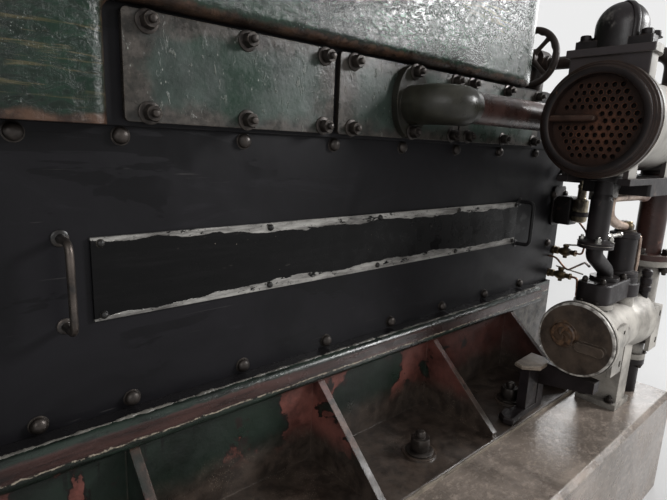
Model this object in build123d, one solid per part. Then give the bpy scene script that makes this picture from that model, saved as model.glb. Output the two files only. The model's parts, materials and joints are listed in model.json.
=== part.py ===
from build123d import *
import math
import os

os.makedirs("parts", exist_ok=True)

# Stationary three-cylinder oil engine on its plinth, with cooler, pump and flywheel
# X runs along the crankshaft towards the cooler end, Y to the far side, Z up
# The origin is on the plinth's underside, below the middle cylinder; sizes are in mm

# Cylinders
cylinder_pitch = 443
cylinder_middle = -7
cylinder_xs = [cylinder_middle + i * cylinder_pitch for i in (-1, 0, 1)]
engine_left = -900
engine_right = 905

# Plinth
plinth_height = 350
plinth_left_ledge = 30
plinth_right_short = 5
plinth_side_ledge = 210
plinth_bevel = 12

# Bedplate
foot_half_width = 636
foot_thick = 10
foot_inset = 12
bed_height = 277
bed_wall_y = 394
bed_wall_thick = 26
rib_thick = 18
rib_toe = 12
rib_inset = 8
rail_reach = 34
rail_height = 58
rail_right = 776
boss_radius = 42
boss_height = 5
hold_down_inset = 88
web_thick = 40
rib_pitch = 430
rib_middle = -45

# Crankcase
case_y = 374
case_wall = 22
case_height = 673
band_step = 14
band_height = 183
door_thick = 6
door_inset = 5
window_width = 356
window_height = 370
hatch_width = 330
hatch_height = 98
plate_thick = 12
plate_gap = 7
plate_widths = (433, 436, 436)
plate_lefts = (-677, -229, 215)
timing_length = 55
timing_edge = 40
gear_rise = 130
gear_radius = 210
governor_y = -262
governor_rise = 265
governor_radius = 104
governor_reach = 72

# Cylinder block
block_lip = 38
block_height = 400
block_right = 665
block_corner = 200
block_left_corner = 30
block_flange = 10
block_flange_thick = 38
recess_left = -707
recess_corner = 26
lip_radius = 22

# Top end
head_half_length = 205
head_half_width = 290
head_height = 176
head_corner = 44
rocker_inset = 44
rocker_height = 158
rocker_flange = 14
exhaust_radius = 66
exhaust_reach = 190
inlet_radius = 50
inlet_reach = 112
port_height = 90
port_half = 100

# Crankshaft and flywheel
shaft_above_bed = 13
shaft_radius = 62
shaft_seat = 0.3
bearing_radius = 128
bearing_reach = 24
wheel_radius = 540
wheel_width = 150
wheel_gap = 60
rim_depth = 112
web_half = 22
hub_radius = 135
wheel_holes = 6
wheel_hole_radius = 88

# Nameplate and handles
name_left = -735
name_length = 1343
name_above_bed = 313
name_height = 140
name_thick = 6
handle_bar = 15
handle_reach = 50
handle_pitch = 143
handle_bend = 22
handle_washer = 15

# Cooler
stack_out = 76
cooler_drop = 19
cooler_radius = 118
ring_radius = 137
ring_bore = 107
ring_left = 297
ring_length = 26
tube_plate_thick = 16
tube_hole_radius = 5.8
tube_pitch = 19
tube_field_radius = 97
cooler_length = 646
cooler_flange = 15
end_cover_depth = 55
tower_half = 92
tower_depth = 106
tower_back_corner = 75
tower_height = 170
tower_flange = 8
tower_plate = 20
tower_plate_inset = 6
ball_radius = 58
ball_rise = 50
outlet_reach = 85
outlet_turn = 22.5
outlet_clear = 2
outlet_bead = 1.5
leg_width = 54
leg_thick = 12
leg_offset = 73
leg_xs = (378, 650)
shelf_drop = 15
shelf_left = 503
arm_depth = 16
shelf_thick = 47
shelf_half = 86
shelf_clear = 3
shelf_wall = 14
neck_inset = 6

# Water pipe along the engine's side
pipe_radius = 38
pipe_offset = 16
pipe_below_deck = 98
pipe_bend = 60
nozzle_x = 500
nozzle_radius = 50
nozzle_bend = 44
nozzle_seat = 4
flange_x = -8
flange_half_width = 56
flange_half_height = 84
elbow_body = 46
elbow_length = 96
elbow_end_lip = 3

# Pump and what stands on it
pump_rise = 260
pump_radius = 102
pump_body_radius = 90
pump_left = 385
pump_cover_thick = 15
pump_length = 420
pump_throat = 90
pump_waist = 240
pump_shoulder = 110
pump_end = 60
pad_xs = (485, 790)
pad_width = 72
pad_low = 99
pad_high = 42
pad_thick = 12
slot_half = 9
slot_inset = 26
pump_foot_x = 655
pump_foot_width = 70
neck_height = 72
chest_left = 440
chest_half = 44
chest_round = 58
chest_step = 16
pump_top_x = 476
pump_top_radius = 50
chest_height = 55
chest_rise = 94
column_x = 865
column_radius = 41
column_flange = 74
flange_thick = 18
outlet_x = 800
outlet_out = 24
outlet_drop = 144
outlet_radius = 40
suction_radius = 28
stool_left = 295
stool_width = 36
stool_wall = 32
stool_base = 16
stack_x = 430
stack_foot_x = 532
stack_radius = 24
stack_joint_rise = 103
vessel_x = 640
vessel_radius = 36
vessel_height = 130

# Hand valve above the deck
valve_x = 810
valve_y = -291
valve_rise = 124
valve_body_radius = 34
valve_stem_radius = 26
branch_radius = 28
bypass_radius = 21
bypass_drop = 16
valve_wheel_x = 755
valve_wheel_radius = 102
rim_section = 9
spoke_radius = 6
spindle_radius = 9
spindle_fit = 0.05

# Levels and faces that follow
foot_top = plinth_height + foot_thick
hold_down_y = foot_half_width - hold_down_inset
bed_top = plinth_height + bed_height
case_top = bed_top + case_height
band_bottom = case_top - band_height
band_y = case_y + band_step
block_y = band_y + block_lip
block_top = case_top + block_height
head_top = block_top + head_height
shaft_z = bed_top + shaft_above_bed
governor_z = shaft_z + governor_rise
name_top = bed_top + name_above_bed
door_face = case_y + door_thick
plate_face = band_y + plate_thick
pipe_z = case_top - pipe_below_deck
cooler_z = pipe_z - cooler_drop
valve_z = case_top + valve_rise
pump_z = plinth_height + pump_rise
chest_bottom = pump_z + chest_rise
stack_y = -(foot_half_width + stack_out)
ring_right = ring_left + ring_length
shell_left = ring_right + tube_plate_thick
shell_right = shell_left + cooler_length
shell_low = cooler_z - cooler_radius
shell_high = cooler_z + cooler_radius
shelf_top = shell_low - shelf_drop
shelf_low = shelf_top - shelf_thick
shelf_right = shell_right - cooler_flange - shelf_clear
timing_right = engine_right + timing_length
chest_top = chest_bottom + chest_height
stack_joint = chest_top + stack_joint_rise
nozzle_y = stack_y + cooler_radius + nozzle_seat
pipe_y = (nozzle_y - plate_face) / 2 - pipe_offset


def block(x0, x1, y0, y1, z0, z1):
    centre = Pos((x0 + x1) / 2, (y0 + y1) / 2, (z0 + z1) / 2)
    return centre * Box(x1 - x0, y1 - y0, z1 - z0)


def rod_x(x0, x1, y, z, r):
    return Pos((x0 + x1) / 2, y, z) * Rot(0, 90, 0) * Cylinder(r, x1 - x0)


def rod_y(y0, y1, x, z, r):
    return Pos(x, (y0 + y1) / 2, z) * Rot(90, 0, 0) * Cylinder(r, y1 - y0)


def rod_z(z0, z1, x, y, r):
    return Pos(x, y, (z0 + z1) / 2) * Cylinder(r, z1 - z0)


def profile_x(points, x0, x1):
    """A YZ outline pushed along X from x0 to x1."""
    face = make_face(Polyline([(y, z) for y, z in points], close=True))
    return Pos(x0, 0, 0) * extrude(Plane.YZ * face, x1 - x0)


def far_side(shape):
    return mirror(shape, Plane.XZ)


def turned_x(points, y, z):
    """An outline of (x, radius) pairs turned about a line along X."""
    face = make_face(Polyline([(px, pr) for px, pr in points], close=True))
    return Pos(0, y, z) * revolve(Plane.XZ * face, Axis.X)


def turned_z(points, x, y):
    """An outline of (radius, z) pairs turned about an upright line."""
    face = make_face(Polyline([(pr, pz) for pr, pz in points], close=True))
    return Pos(x, y, 0) * revolve(Plane.XZ * face, Axis.Z)


def bent_tube(points, bend, r):
    path = FilletPolyline(points, radius=bend)
    start = Plane(origin=path @ 0, z_dir=path % 0)
    return sweep(start * Circle(r), path)


def save(shape, name):
    solids = shape.solids()
    out = solids[0] if len(solids) == 1 else Compound(children=list(solids))
    export_step(out, f"parts/{name}.step")
    print(name, len(solids), round(out.volume))


# Plinth: painted block, a little longer than the engine at the flywheel end
def make_plinth():
    half = foot_half_width + plinth_side_ledge
    body = block(engine_left - plinth_left_ledge, engine_right - plinth_right_short,
                 -half, half, 0, plinth_height)
    return chamfer(body.edges().group_by(Axis.Z)[-1], plinth_bevel)


save(make_plinth(), "plinth")


# Bedplate: foot with bolt bosses, hollow walls, rounded rail and triangular ribs
def make_bedplate():
    foot = block(engine_left + foot_inset, engine_right - foot_inset,
                 -foot_half_width, foot_half_width, plinth_height, foot_top)
    foot = fillet(foot.edges().filter_by(Axis.Z), 25)
    bed = fillet(foot.edges().group_by(Axis.Z)[-1], 4)
    bed += block(engine_left, engine_right, -bed_wall_y, bed_wall_y,
                 foot_top - 1, bed_top)
    inside_y = bed_wall_y - bed_wall_thick
    inside_left = engine_left + bed_wall_thick
    inside_right = engine_right - bed_wall_thick
    bed -= block(inside_left, inside_right, -inside_y, inside_y, foot_top, bed_top)
    section = Rectangle(2 * rail_reach, rail_height)
    section = fillet(section.vertices(), 0.4 * rail_reach)
    section = Pos(-bed_wall_y, bed_top - rail_height / 2) * section
    rail = Pos(engine_left, 0, 0) * extrude(Plane.YZ * section, rail_right - engine_left)
    rail -= block(engine_left, rail_right, -inside_y - 5, 0, 0, case_top)
    bed += rail
    bed += far_side(rail)
    rail_low = bed_top - rail_height
    for rib_x in rib_xs:
        rib = profile_x([
            (-bed_wall_y + 1, foot_top - 1),
            (-bed_wall_y + 1, rail_low + 1),
            (-bed_wall_y - rib_toe, rail_low + 1),
            (-foot_half_width + rib_inset, foot_top + rib_toe),
            (-foot_half_width + rib_inset, foot_top - 1),
        ], rib_x - rib_thick / 2, rib_x + rib_thick / 2)
        bed += rib
        bed += far_side(rib)
    for bolt_x in hold_down_xs:
        boss = rod_z(foot_top - 1, foot_top + boss_height, bolt_x, -hold_down_y,
                     boss_radius)
        bed += boss
        bed += far_side(boss)
    for web_x in web_xs:
        bed += block(web_x - web_thick / 2, web_x + web_thick / 2,
                     -inside_y - 1, inside_y + 1, foot_top - 1, bed_top - web_thick)
    housing = rod_x(engine_left - bearing_reach, engine_left + 1, 0, shaft_z,
                    bearing_radius)
    bed += housing & block(engine_left - 2 * bearing_reach, engine_left + 1,
                           -case_y, case_y, foot_top, bed_top)
    return bed - rod_x(engine_left - 2 * bearing_reach, engine_right + 10,
                       0, shaft_z, shaft_radius + shaft_seat)


rib_xs = [rib_middle + rib_pitch * (i - 1.5) for i in range(4)]
hold_down_xs = [rib_middle + rib_pitch * (i - 1) for i in range(3)]
web_xs = [cylinder_middle + cylinder_pitch * (i - 1.5) for i in range(4)]
save(make_bedplate(), "bedplate")


# Crankcase: hollow box with windows behind the doors and hatches behind the covers
def make_crankcase():
    case = block(engine_left, engine_right, -case_y, case_y, bed_top, band_bottom)
    case += block(engine_left, engine_right, -band_y, band_y, band_bottom, case_top)
    inside_y = case_y - case_wall
    case -= block(engine_left + case_wall, engine_right - case_wall,
                  -inside_y, inside_y, bed_top, case_top - case_wall)
    window_z = (bed_top + band_bottom) / 2
    hatch_z = (band_bottom + case_top) / 2
    for x in cylinder_xs:
        case -= block(x - window_width / 2, x + window_width / 2, -band_y, band_y,
                      window_z - window_height / 2, window_z + window_height / 2)
        case -= block(x - hatch_width / 2, x + hatch_width / 2, -band_y, band_y,
                      hatch_z - hatch_height / 2, hatch_z + hatch_height / 2)
    housing = rod_x(engine_left - bearing_reach, engine_left + 1, 0, shaft_z,
                    bearing_radius)
    case += housing & block(engine_left - 2 * bearing_reach, engine_left + 1,
                            -case_y, case_y, bed_top, case_top)
    return case - rod_x(engine_left - 2 * bearing_reach, engine_left + case_wall + 1,
                        0, shaft_z, shaft_radius + shaft_seat)


save(make_crankcase(), "crankcase")


# Timing case on the cooler end, with the gear cover and the governor housing
def make_timing_case():
    body = block(engine_right, timing_right, -case_y, case_y,
                 bed_top + 4, case_top - timing_edge)
    body = fillet(body.edges().filter_by(Axis.X), timing_edge)
    body = fillet(body.edges().group_by(Axis.X)[-1], 10)
    for radius, reach in ((gear_radius, 18), (0.44 * gear_radius, 44)):
        cover = rod_x(timing_right - 1, timing_right + reach, 0, shaft_z + gear_rise, radius)
        body += fillet(cover.edges().group_by(Axis.X)[-1], 8)
    governor = rod_x(timing_right - 1, timing_right + governor_reach, governor_y,
                     governor_z, governor_radius)
    return body + fillet(governor.edges().group_by(Axis.X)[-1], 26)


save(make_timing_case(), "timing_case")


# Cylinder block: tall casing with a big rounded end and a leg beside the covers
def make_cylinder_block():
    length = block_right - engine_left
    outline = Pos((engine_left + block_right) / 2, 0) * Rectangle(length, 2 * block_y)
    outline = fillet(outline.vertices().group_by(Axis.X)[-1], block_corner)
    outline = fillet(outline.vertices().group_by(Axis.X)[0], block_left_corner)
    casing = Pos(0, 0, case_top) * extrude(outline, block_height)
    leg = block(engine_left, recess_left, -block_y, -band_y, band_bottom, case_top + 1)
    leg -= block(engine_left, engine_left + block_left_corner,
                 -block_y, -block_y + block_left_corner, band_bottom, case_top + 1)
    leg += rod_z(band_bottom, case_top + 1, engine_left + block_left_corner,
                 -block_y + block_left_corner, block_left_corner) & block(
        engine_left, recess_left, -block_y, -band_y, band_bottom, case_top + 1)
    corner_x = recess_left + recess_corner
    corner_z = case_top - recess_corner
    gusset = block(recess_left - 1, corner_x, -block_y, -band_y, corner_z, case_top + 1)
    gusset -= rod_y(-block_y, -band_y, corner_x, corner_z, recess_corner)
    casing += leg + gusset
    casing += far_side(leg + gusset)
    rim = offset(outline, block_flange)
    casing += Pos(0, 0, block_top - block_flange_thick) * extrude(
        rim, block_flange_thick)
    lip = casing.edges().filter_by(
        lambda e: abs(e.center().Z - case_top) < 0.01
        and abs(abs(e.center().Y) - block_y) < 0.01
        and e.length > 4 * recess_corner)
    return fillet(lip, lip_radius)


save(make_cylinder_block(), "cylinder_block")


# Doors, nameplate and handles
door = block(engine_left + door_inset, engine_right - door_inset, -door_face, -case_y,
             bed_top, band_bottom)
save(door, "front_door")
save(far_side(door), "rear_door")
nameplate = block(name_left, name_left + name_length, -door_face - name_thick,
                  -door_face, name_top - name_height, name_top)
save(nameplate, "nameplate")


def make_handle(x, z_top):
    z_low = z_top - handle_pitch
    out = -door_face - handle_reach
    grip = bent_tube([(x, -door_face, z_top), (x, out, z_top), (x, out, z_low),
                      (x, -door_face, z_low)], handle_bend, handle_bar / 2)
    for z in (z_top, z_low):
        grip += rod_y(-door_face - 4, -door_face, x, z, handle_washer)
    return grip


handle_spots = {
    "left": (name_left - 42, name_top + 3),
    "right": (name_left + name_length + 20, name_top),
}
for side, (x, z) in handle_spots.items():
    grip = make_handle(x, z)
    save(grip, f"front_handle_{side}")
    save(far_side(grip), f"rear_handle_{side}")

# Cover plates in the band above the doors
for i, x0 in enumerate(plate_lefts):
    plate = block(x0, x0 + plate_widths[i], -plate_face, -band_y,
                  band_bottom + plate_gap, case_top - plate_gap)
    plate = fillet(plate.edges().filter_by(Axis.Y), 8)
    save(plate, f"front_cover_{i + 1}")
    save(far_side(plate), f"rear_cover_{i + 1}")


# Flanged elbow on the middle cover, and the pipe that runs to the cooler
def make_water_elbow():
    oval = Ellipse(flange_half_width, flange_half_height)
    flange_z = (band_bottom + case_top) / 2
    elbow = Pos(flange_x, -plate_face, flange_z) * extrude(Plane.XZ * oval, flange_thick)
    bend_end = flange_x + pipe_bend + 10
    elbow += bent_tube([(flange_x, -plate_face - 8, pipe_z), (flange_x, pipe_y, pipe_z),
                        (bend_end, pipe_y, pipe_z)], pipe_bend, elbow_body)
    return elbow + turned_x([
        (bend_end - 4, 0), (bend_end - 4, elbow_body), (bend_end, elbow_body),
        (elbow_end, pipe_radius + elbow_end_lip), (elbow_end, 0)], pipe_y, pipe_z)


elbow_end = flange_x + elbow_length
save(make_water_elbow(), "water_elbow")
pipe_end = nozzle_y + 0.3
water_pipe = bent_tube([(elbow_end, pipe_y, pipe_z), (nozzle_x, pipe_y, pipe_z),
                        (nozzle_x, pipe_end, pipe_z)], nozzle_bend,
                       pipe_radius)
save(water_pipe, "water_pipe")


# Cooler: shell with its tower, legs and side nozzle
def make_cooler_shell():
    shell = rod_x(shell_left, shell_right, stack_y, cooler_z, cooler_radius)
    for x in (shell_left, shell_right - cooler_flange):
        shell += rod_x(x, x + cooler_flange, stack_y, cooler_z, ring_radius)
    shell += tower_block(0, cooler_z, tower_top)
    shell += tower_block(tower_flange, tower_top - flange_thick, tower_top)
    shell += rod_y(stack_y, nozzle_y, nozzle_x, pipe_z, nozzle_radius)
    for x in leg_xs:
        for y in (stack_y - leg_offset, stack_y + leg_offset):
            shell += block(x - leg_width / 2, x + leg_width / 2, y - leg_thick / 2,
                           y + leg_thick / 2, shelf_top, cooler_z - 60)
    shell += rod_z(shell_low - 12, cooler_z, stack_x, stack_y, stack_radius + 20)
    shell += rod_z(shell_low - 12, cooler_z, column_x, stack_y, column_radius + 12)
    return shell


def tower_block(grow, z0, z1):
    """The tower's outline, flat in front and rounded behind, grown all round and pushed up from z0 to z1."""
    half = tower_half + grow
    tower = block(shell_left - grow, shell_left + tower_depth + grow, stack_y - half,
                  stack_y + half, z0, z1)
    tower = fillet(tower.edges().filter_by(Axis.Z).group_by(Axis.X)[-1], tower_back_corner + grow)
    return fillet(tower.edges().filter_by(Axis.Z).group_by(Axis.X)[0], 4)


tower_x = shell_left + tower_depth / 2
tower_top = cooler_z + tower_height
save(make_cooler_shell(), "cooler_shell")


# Front ring with its half partition, and the tube plate clamped behind it
def make_cooler_ring():
    ring = rod_x(ring_left, ring_right, stack_y, cooler_z, ring_radius)
    ring = chamfer(ring.edges().group_by(Axis.X)[0], 3)
    ring -= rod_x(ring_left, ring_right, stack_y, cooler_z, ring_bore)
    partition = block(ring_left + 4, ring_right, stack_y + 5, stack_y + ring_bore + 8,
                      cooler_z - 2, cooler_z + 14)
    return ring + partition


def make_tube_plate():
    disc = rod_x(ring_right, shell_left, stack_y, cooler_z, ring_radius - 2)
    row_step = tube_pitch * math.sqrt(3) / 2
    rows = int(tube_field_radius / row_step) + 1
    holes = []
    for row in range(-rows, rows + 1):
        shift = tube_pitch / 2 if row % 2 else 0
        for column in range(-rows - 1, rows + 2):
            y = column * tube_pitch + shift
            z = row * row_step
            under_partition = y > -tube_pitch / 2 and abs(z - 6) < 14
            if math.hypot(y, z) < tube_field_radius and not under_partition:
                holes.append(Location((ring_right, stack_y + y, cooler_z + z), (0, 90, 0)))
    depth = tube_plate_thick - 4
    cutter = Pos(0, 0, depth / 2) * Cylinder(tube_hole_radius, depth)
    return disc - [hole * cutter for hole in holes]


save(make_cooler_ring(), "cooler_ring")
save(make_tube_plate(), "tube_plate")
end_cover = turned_x([
    (shell_right, 0), (shell_right, ring_radius),
    (shell_right + cooler_flange, ring_radius),
    (shell_right + cooler_flange + 3, cooler_radius),
    (shell_right + 0.75 * end_cover_depth, 0.85 * cooler_radius),
    (shell_right + 0.95 * end_cover_depth, 0.5 * cooler_radius),
    (shell_right + end_cover_depth, 0)], stack_y, cooler_z)
save(end_cover, "cooler_end_cover")


def make_top_elbow():
    axis_z = tower_top + ball_rise
    elbow = tower_block(-tower_plate_inset, tower_top, tower_top + tower_plate)
    elbow += rod_z(tower_top, axis_z, tower_x, stack_y, ball_radius)
    ball = Pos(tower_x, stack_y, axis_z) * Sphere(ball_radius)
    elbow += ball & block(tower_x - ball_radius, tower_x + ball_radius, stack_y - ball_radius,
                          stack_y + ball_radius, axis_z, axis_z + ball_radius)
    radius = ball_rise - outlet_clear
    outlet = rod_x(0, outlet_reach, 0, 0, radius)
    outlet += rod_x(outlet_reach - flange_thick, outlet_reach, 0, 0, radius + outlet_bead)
    return elbow + Pos(tower_x, stack_y, axis_z) * Rot(0, 0, outlet_turn) * outlet


save(make_top_elbow(), "top_elbow")


# Shelf under the cooler, carried by the timing case and the brown column
def make_shelf():
    shelf = block(shelf_left, shelf_right, stack_y - shelf_half, stack_y + shelf_half,
                  shelf_low, shelf_top)
    shelf = fillet(shelf.edges().filter_by(Axis.Z), 8)
    shelf -= block(shelf_left + shelf_wall, shelf_right - shelf_wall,
                   stack_y - shelf_half + shelf_wall, stack_y + shelf_half - shelf_wall,
                   shelf_low, shelf_top - shelf_wall)
    for y in (stack_y - leg_offset, stack_y + leg_offset):
        shelf += block(leg_xs[0] - leg_width / 2 - neck_inset, shelf_left + shelf_wall,
                       y - shelf_wall, y + shelf_wall, shelf_top - arm_depth, shelf_top)
    shelf += block(engine_right + neck_inset, timing_right - 2 * neck_inset,
                   stack_y + shelf_half - 1, -case_y, shelf_low, shelf_top)
    shelf += rod_z(shelf_low, shelf_top, column_x, stack_y, column_flange)
    return shelf - rod_z(shelf_low, shelf_top, column_x, stack_y, column_radius + 14)


save(make_shelf(), "cooler_shelf")
column_low = pump_z + pump_radius + neck_height
column = rod_z(column_low, shell_low - 12, column_x, stack_y, column_radius)
column += rod_z(column_low, column_low + flange_thick, column_x, stack_y, column_flange)
column += rod_z(shell_low - 12 - flange_thick, shell_low - 12, column_x, stack_y,
                column_radius + 12)
save(column, "return_column")


# Pump: turned body, mounting pads with slots, top and rear flanges, foot
def make_pump_body():
    x0 = pump_left + pump_cover_thick
    x1 = pump_left + pump_length
    body = turned_x([
        (x0, 0), (x0, pump_radius + 3), (x0 + 9, pump_radius + 3),
        (x0 + 9, pump_radius - 4), (x0 + 20, pump_radius - 8),
        (x0 + pump_throat, pump_body_radius - 6), (x0 + pump_waist, pump_body_radius - 12),
        (x1 - pump_shoulder, pump_body_radius), (x1 - pump_end, pump_body_radius + 4),
        (x1 - 20, pump_body_radius - 10), (x1, pump_body_radius - 40), (x1, 0)],
        stack_y, pump_z)
    low, high = pump_z - pad_low, pump_z + pad_high
    face = stack_y - pump_body_radius + 8
    for x in pad_xs:
        body += block(x - pad_width / 2, x + pad_width / 2, face, face + pad_thick, low, high)
        body += block(x - 12, x + 12, face + 2, stack_y, low + 14, high - 8)
        body += block(x - pad_width / 2, x + pad_width / 2, face + 2, stack_y,
                      high - pad_thick, high)
        for z in (low + slot_inset, high - slot_inset):
            body -= block(x + 14, x + 26, face, face + pad_thick, z - slot_half,
                          z + slot_half)
    body += rod_z(pump_z, chest_bottom, pump_top_x, stack_y, pump_top_radius - 8)
    body += rod_z(chest_bottom - 12, chest_bottom, pump_top_x, stack_y, pump_top_radius)
    body += rod_z(pump_z, chest_bottom, vessel_x, stack_y, chest_round - 8)
    body += rod_z(pump_z, column_low, column_x, stack_y, column_radius + 6)
    body += rod_z(column_low - flange_thick, column_low, column_x, stack_y, column_flange)
    body += rod_x(x1 - 30, column_x, stack_y, pump_z + 22, column_radius)
    body += rod_z(outlet_low, pump_z, outlet_x, outlet_y, outlet_radius - 8)
    body += rod_z(outlet_low, outlet_low + flange_thick, outlet_x, outlet_y, outlet_radius)
    foot = pump_foot_width / 2
    reach = 0.62 * pump_body_radius
    body += block(pump_foot_x - foot, pump_foot_x + foot, stack_y - reach, stack_y + reach,
                  plinth_height + 1, pump_z - 0.4 * pump_radius)
    return body + block(pump_foot_x - foot - 20, pump_foot_x + foot + 20,
                        stack_y - reach - 6, stack_y + reach, plinth_height,
                        plinth_height + flange_thick)


outlet_low = pump_z - outlet_drop
outlet_y = stack_y - outlet_out
save(make_pump_body(), "pump_body")
cover = rod_x(pump_left, pump_left + pump_cover_thick, stack_y, pump_z, pump_radius)
cover = fillet(cover.edges().group_by(Axis.X)[0], 4)
boss = rod_x(pump_left - 12, pump_left + 4, stack_y + 30, pump_z + 8, 34)
cover += fillet(boss.edges().group_by(Axis.X)[0], 6)
lug = block(pump_left - 16, pump_left + 2, stack_y - 82, stack_y - 6, pump_z - 24,
            pump_z + 2)
cover += fillet(lug.edges().filter_by(Axis.X), 12)
save(cover, "pump_cover")


# Cradle under the pump's near end, standing on the bedplate's foot
def make_stool():
    pad_top = pump_z - pump_radius + 2
    out = -foot_half_width + 14
    near = out + stool_wall
    stool_x = pump_left + pump_cover_thick + 5
    arm = profile_x([
        (near, foot_top), (near, pad_top), (stack_y + 66, pad_top),
        (stack_y - 60, pad_top - 12), (stack_y - 60, pad_top - 44),
        (out, pad_top - 70), (out, foot_top)], stool_x, stool_x + stool_width)
    arm -= rod_x(pump_left, pump_left + 2 * stool_width, stack_y, pump_z,
                 pump_radius + 3 + 0.3)
    return arm + block(stool_left, stool_x + stool_width, out, near, foot_top,
                       foot_top + stool_base)


save(make_stool(), "pump_stool")
suction = rod_z(plinth_height, outlet_low, outlet_x, outlet_y, suction_radius)
suction += rod_z(outlet_low - flange_thick, outlet_low, outlet_x, outlet_y, outlet_radius)
save(suction, "suction_pipe")

# Black chest on the pump, with the valve stack and the relief vessel on it
chest = block(chest_left, vessel_x, stack_y - chest_half, stack_y + chest_half,
              chest_bottom, chest_top)
chest = fillet(chest.edges().filter_by(Axis.Z), 30)
chest = fillet(chest.edges().group_by(Axis.Z)[-1], 6)
round_end = rod_z(chest_bottom, chest_top - chest_step, vessel_x, stack_y, chest_round)
chest += fillet(round_end.edges().group_by(Axis.Z)[-1], 5)
chest += rod_z(chest_bottom, chest_top, vessel_x, stack_y, chest_round - 6)
save(chest, "valve_chest")
stack_top = shell_low - 12
stack = turned_z([
    (0, stack_joint), (stack_radius + 20, stack_joint), (stack_radius + 20, stack_joint + 16),
    (stack_radius + 3, stack_joint + 24), (stack_radius + 3, stack_top - 63),
    (stack_radius - 2, stack_top - 49), (stack_radius - 2, stack_top - 16),
    (stack_radius + 18, stack_top - 14), (stack_radius + 18, stack_top),
    (0, stack_top)], stack_x, stack_y)
stack += bent_tube([(stack_x, stack_y, stack_joint + 4), (stack_x, stack_y, stack_joint - 22),
                    (stack_foot_x, stack_y, chest_top + 26),
                    (stack_foot_x, stack_y, chest_top + 4)], 24, stack_radius - 3)
stack += rod_z(chest_top, chest_top + 10, stack_foot_x, stack_y, stack_radius + 14)
save(stack, "valve_stack")
vessel_top = chest_top + vessel_height
vessel = turned_z([
    (0, chest_top), (vessel_radius + 14, chest_top), (vessel_radius + 14, chest_top + 12),
    (vessel_radius, chest_top + 18), (vessel_radius, vessel_top - 18),
    (vessel_radius + 4, vessel_top - 16), (vessel_radius + 4, vessel_top - 4),
    (vessel_radius - 6, vessel_top), (0, vessel_top)], vessel_x, stack_y)
save(vessel, "relief_vessel")


# Hand valve on the deck: its body and bypass pipe are fixed, wheel and spindle turn
def make_valve_body():
    body = rod_z(case_top, case_top + 14, valve_x, valve_y, valve_stem_radius + 20)
    body += rod_z(case_top + 14, valve_z, valve_x, valve_y, valve_stem_radius)
    body += rod_x(valve_x - 30, valve_x + 34, valve_y, valve_z, valve_body_radius)
    run_z = valve_z - bypass_drop
    body += rod_y(valve_y - 46, valve_y, valve_x, run_z, branch_radius)
    body += bent_tube([(valve_x, valve_y - 30, run_z), (valve_x, stack_y, run_z),
                       (valve_x, stack_y, shell_high + 12)], 46, bypass_radius)
    body += rod_z(shell_high + 0.3, shell_high + 16, valve_x, stack_y, bypass_radius + 19)
    return body - rod_x(valve_wheel_x, valve_x + 20, valve_y, valve_z,
                        spindle_radius + spindle_fit)


def make_handwheel():
    rim_middle = valve_wheel_radius - rim_section
    wheel = turned_x([
        (valve_wheel_x + rim_section * math.cos(math.pi * i / 5),
         rim_middle + rim_section * math.sin(math.pi * i / 5)) for i in range(10)
    ], valve_y, valve_z)
    wheel += rod_x(valve_wheel_x - 12, valve_wheel_x + 14, valve_y, valve_z, 20)
    for i in range(4):
        wheel += Pos(valve_wheel_x, valve_y, valve_z) * Rot(45 + 90 * i, 0, 0) * Pos(
            0, 0, rim_middle / 2 + 6) * Cylinder(spoke_radius, rim_middle - 12)
    return wheel + rod_x(valve_wheel_x, valve_x + 15, valve_y, valve_z, spindle_radius)


save(make_valve_body(), "valve_body")
save(make_handwheel(), "handwheel")


# Heads and rocker covers
def make_head(x):
    head = block(x - head_half_length, x + head_half_length,
                 -head_half_width, head_half_width, block_top, head_top)
    head = fillet(head.edges().filter_by(Axis.Z), head_corner)
    waist = block(x - head_half_length, x + head_half_length, head_half_width - 14,
                  head_half_width, block_top + 32, head_top - 32)
    port = block(x - port_half, x + port_half, head_half_width - 14, head_half_width,
                 block_top + 32, head_top - 32)
    return head - (waist - port) - far_side(waist - port)


def make_rocker_cover(x):
    half_x = head_half_length - rocker_inset
    half_y = head_half_width - rocker_inset
    flange = block(x - half_x, x + half_x, -half_y, half_y,
                   head_top, head_top + rocker_flange)
    flange = fillet(flange.edges().filter_by(Axis.Z), 50)
    hood = block(x - half_x + 16, x + half_x - 16, -half_y + 16, half_y - 16,
                 head_top, head_top + rocker_height)
    hood = fillet(hood.edges().filter_by(Axis.Z), 46)
    hood = fillet(hood.edges().group_by(Axis.Z)[-1], 36)
    return flange + hood


for i, x in enumerate(cylinder_xs):
    save(make_head(x), f"cylinder_head_{i + 1}")
    save(make_rocker_cover(x), f"rocker_cover_{i + 1}")


# Manifolds: a long log with a flanged branch to each head
def make_manifold(side, radius, reach):
    y = side * (head_half_width + reach)
    z = block_top + port_height
    end = head_half_length - 10
    log = rod_x(cylinder_xs[0] - end, cylinder_xs[2] + end, y, z, radius)
    for x in (cylinder_xs[0] - end, cylinder_xs[2] + end - flange_thick):
        log += rod_x(x, x + flange_thick, y, z, radius + 22)
    for x in cylinder_xs:
        near, far = sorted((side * head_half_width, y))
        log += rod_y(near, far, x, z, radius * 0.8)
        near, far = sorted((side * head_half_width,
                            side * (head_half_width + flange_thick)))
        pad = block(x - 88, x + 88, near, far, z - 54, z + 54)
        log += fillet(pad.edges().filter_by(Axis.Y), 26)
    return log


save(make_manifold(1, exhaust_radius, exhaust_reach), "exhaust_manifold")
save(make_manifold(-1, inlet_radius, inlet_reach), "inlet_manifold")

# Crankshaft and flywheel beyond the far left end
wheel_right = engine_left - wheel_gap
wheel_left = wheel_right - wheel_width
shaft = rod_x(wheel_left - 24, engine_right - case_wall - 10, 0, shaft_z, shaft_radius)
shaft = chamfer(shaft.edges().group_by(Axis.X)[0], 6)
save(shaft, "crankshaft")


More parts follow.
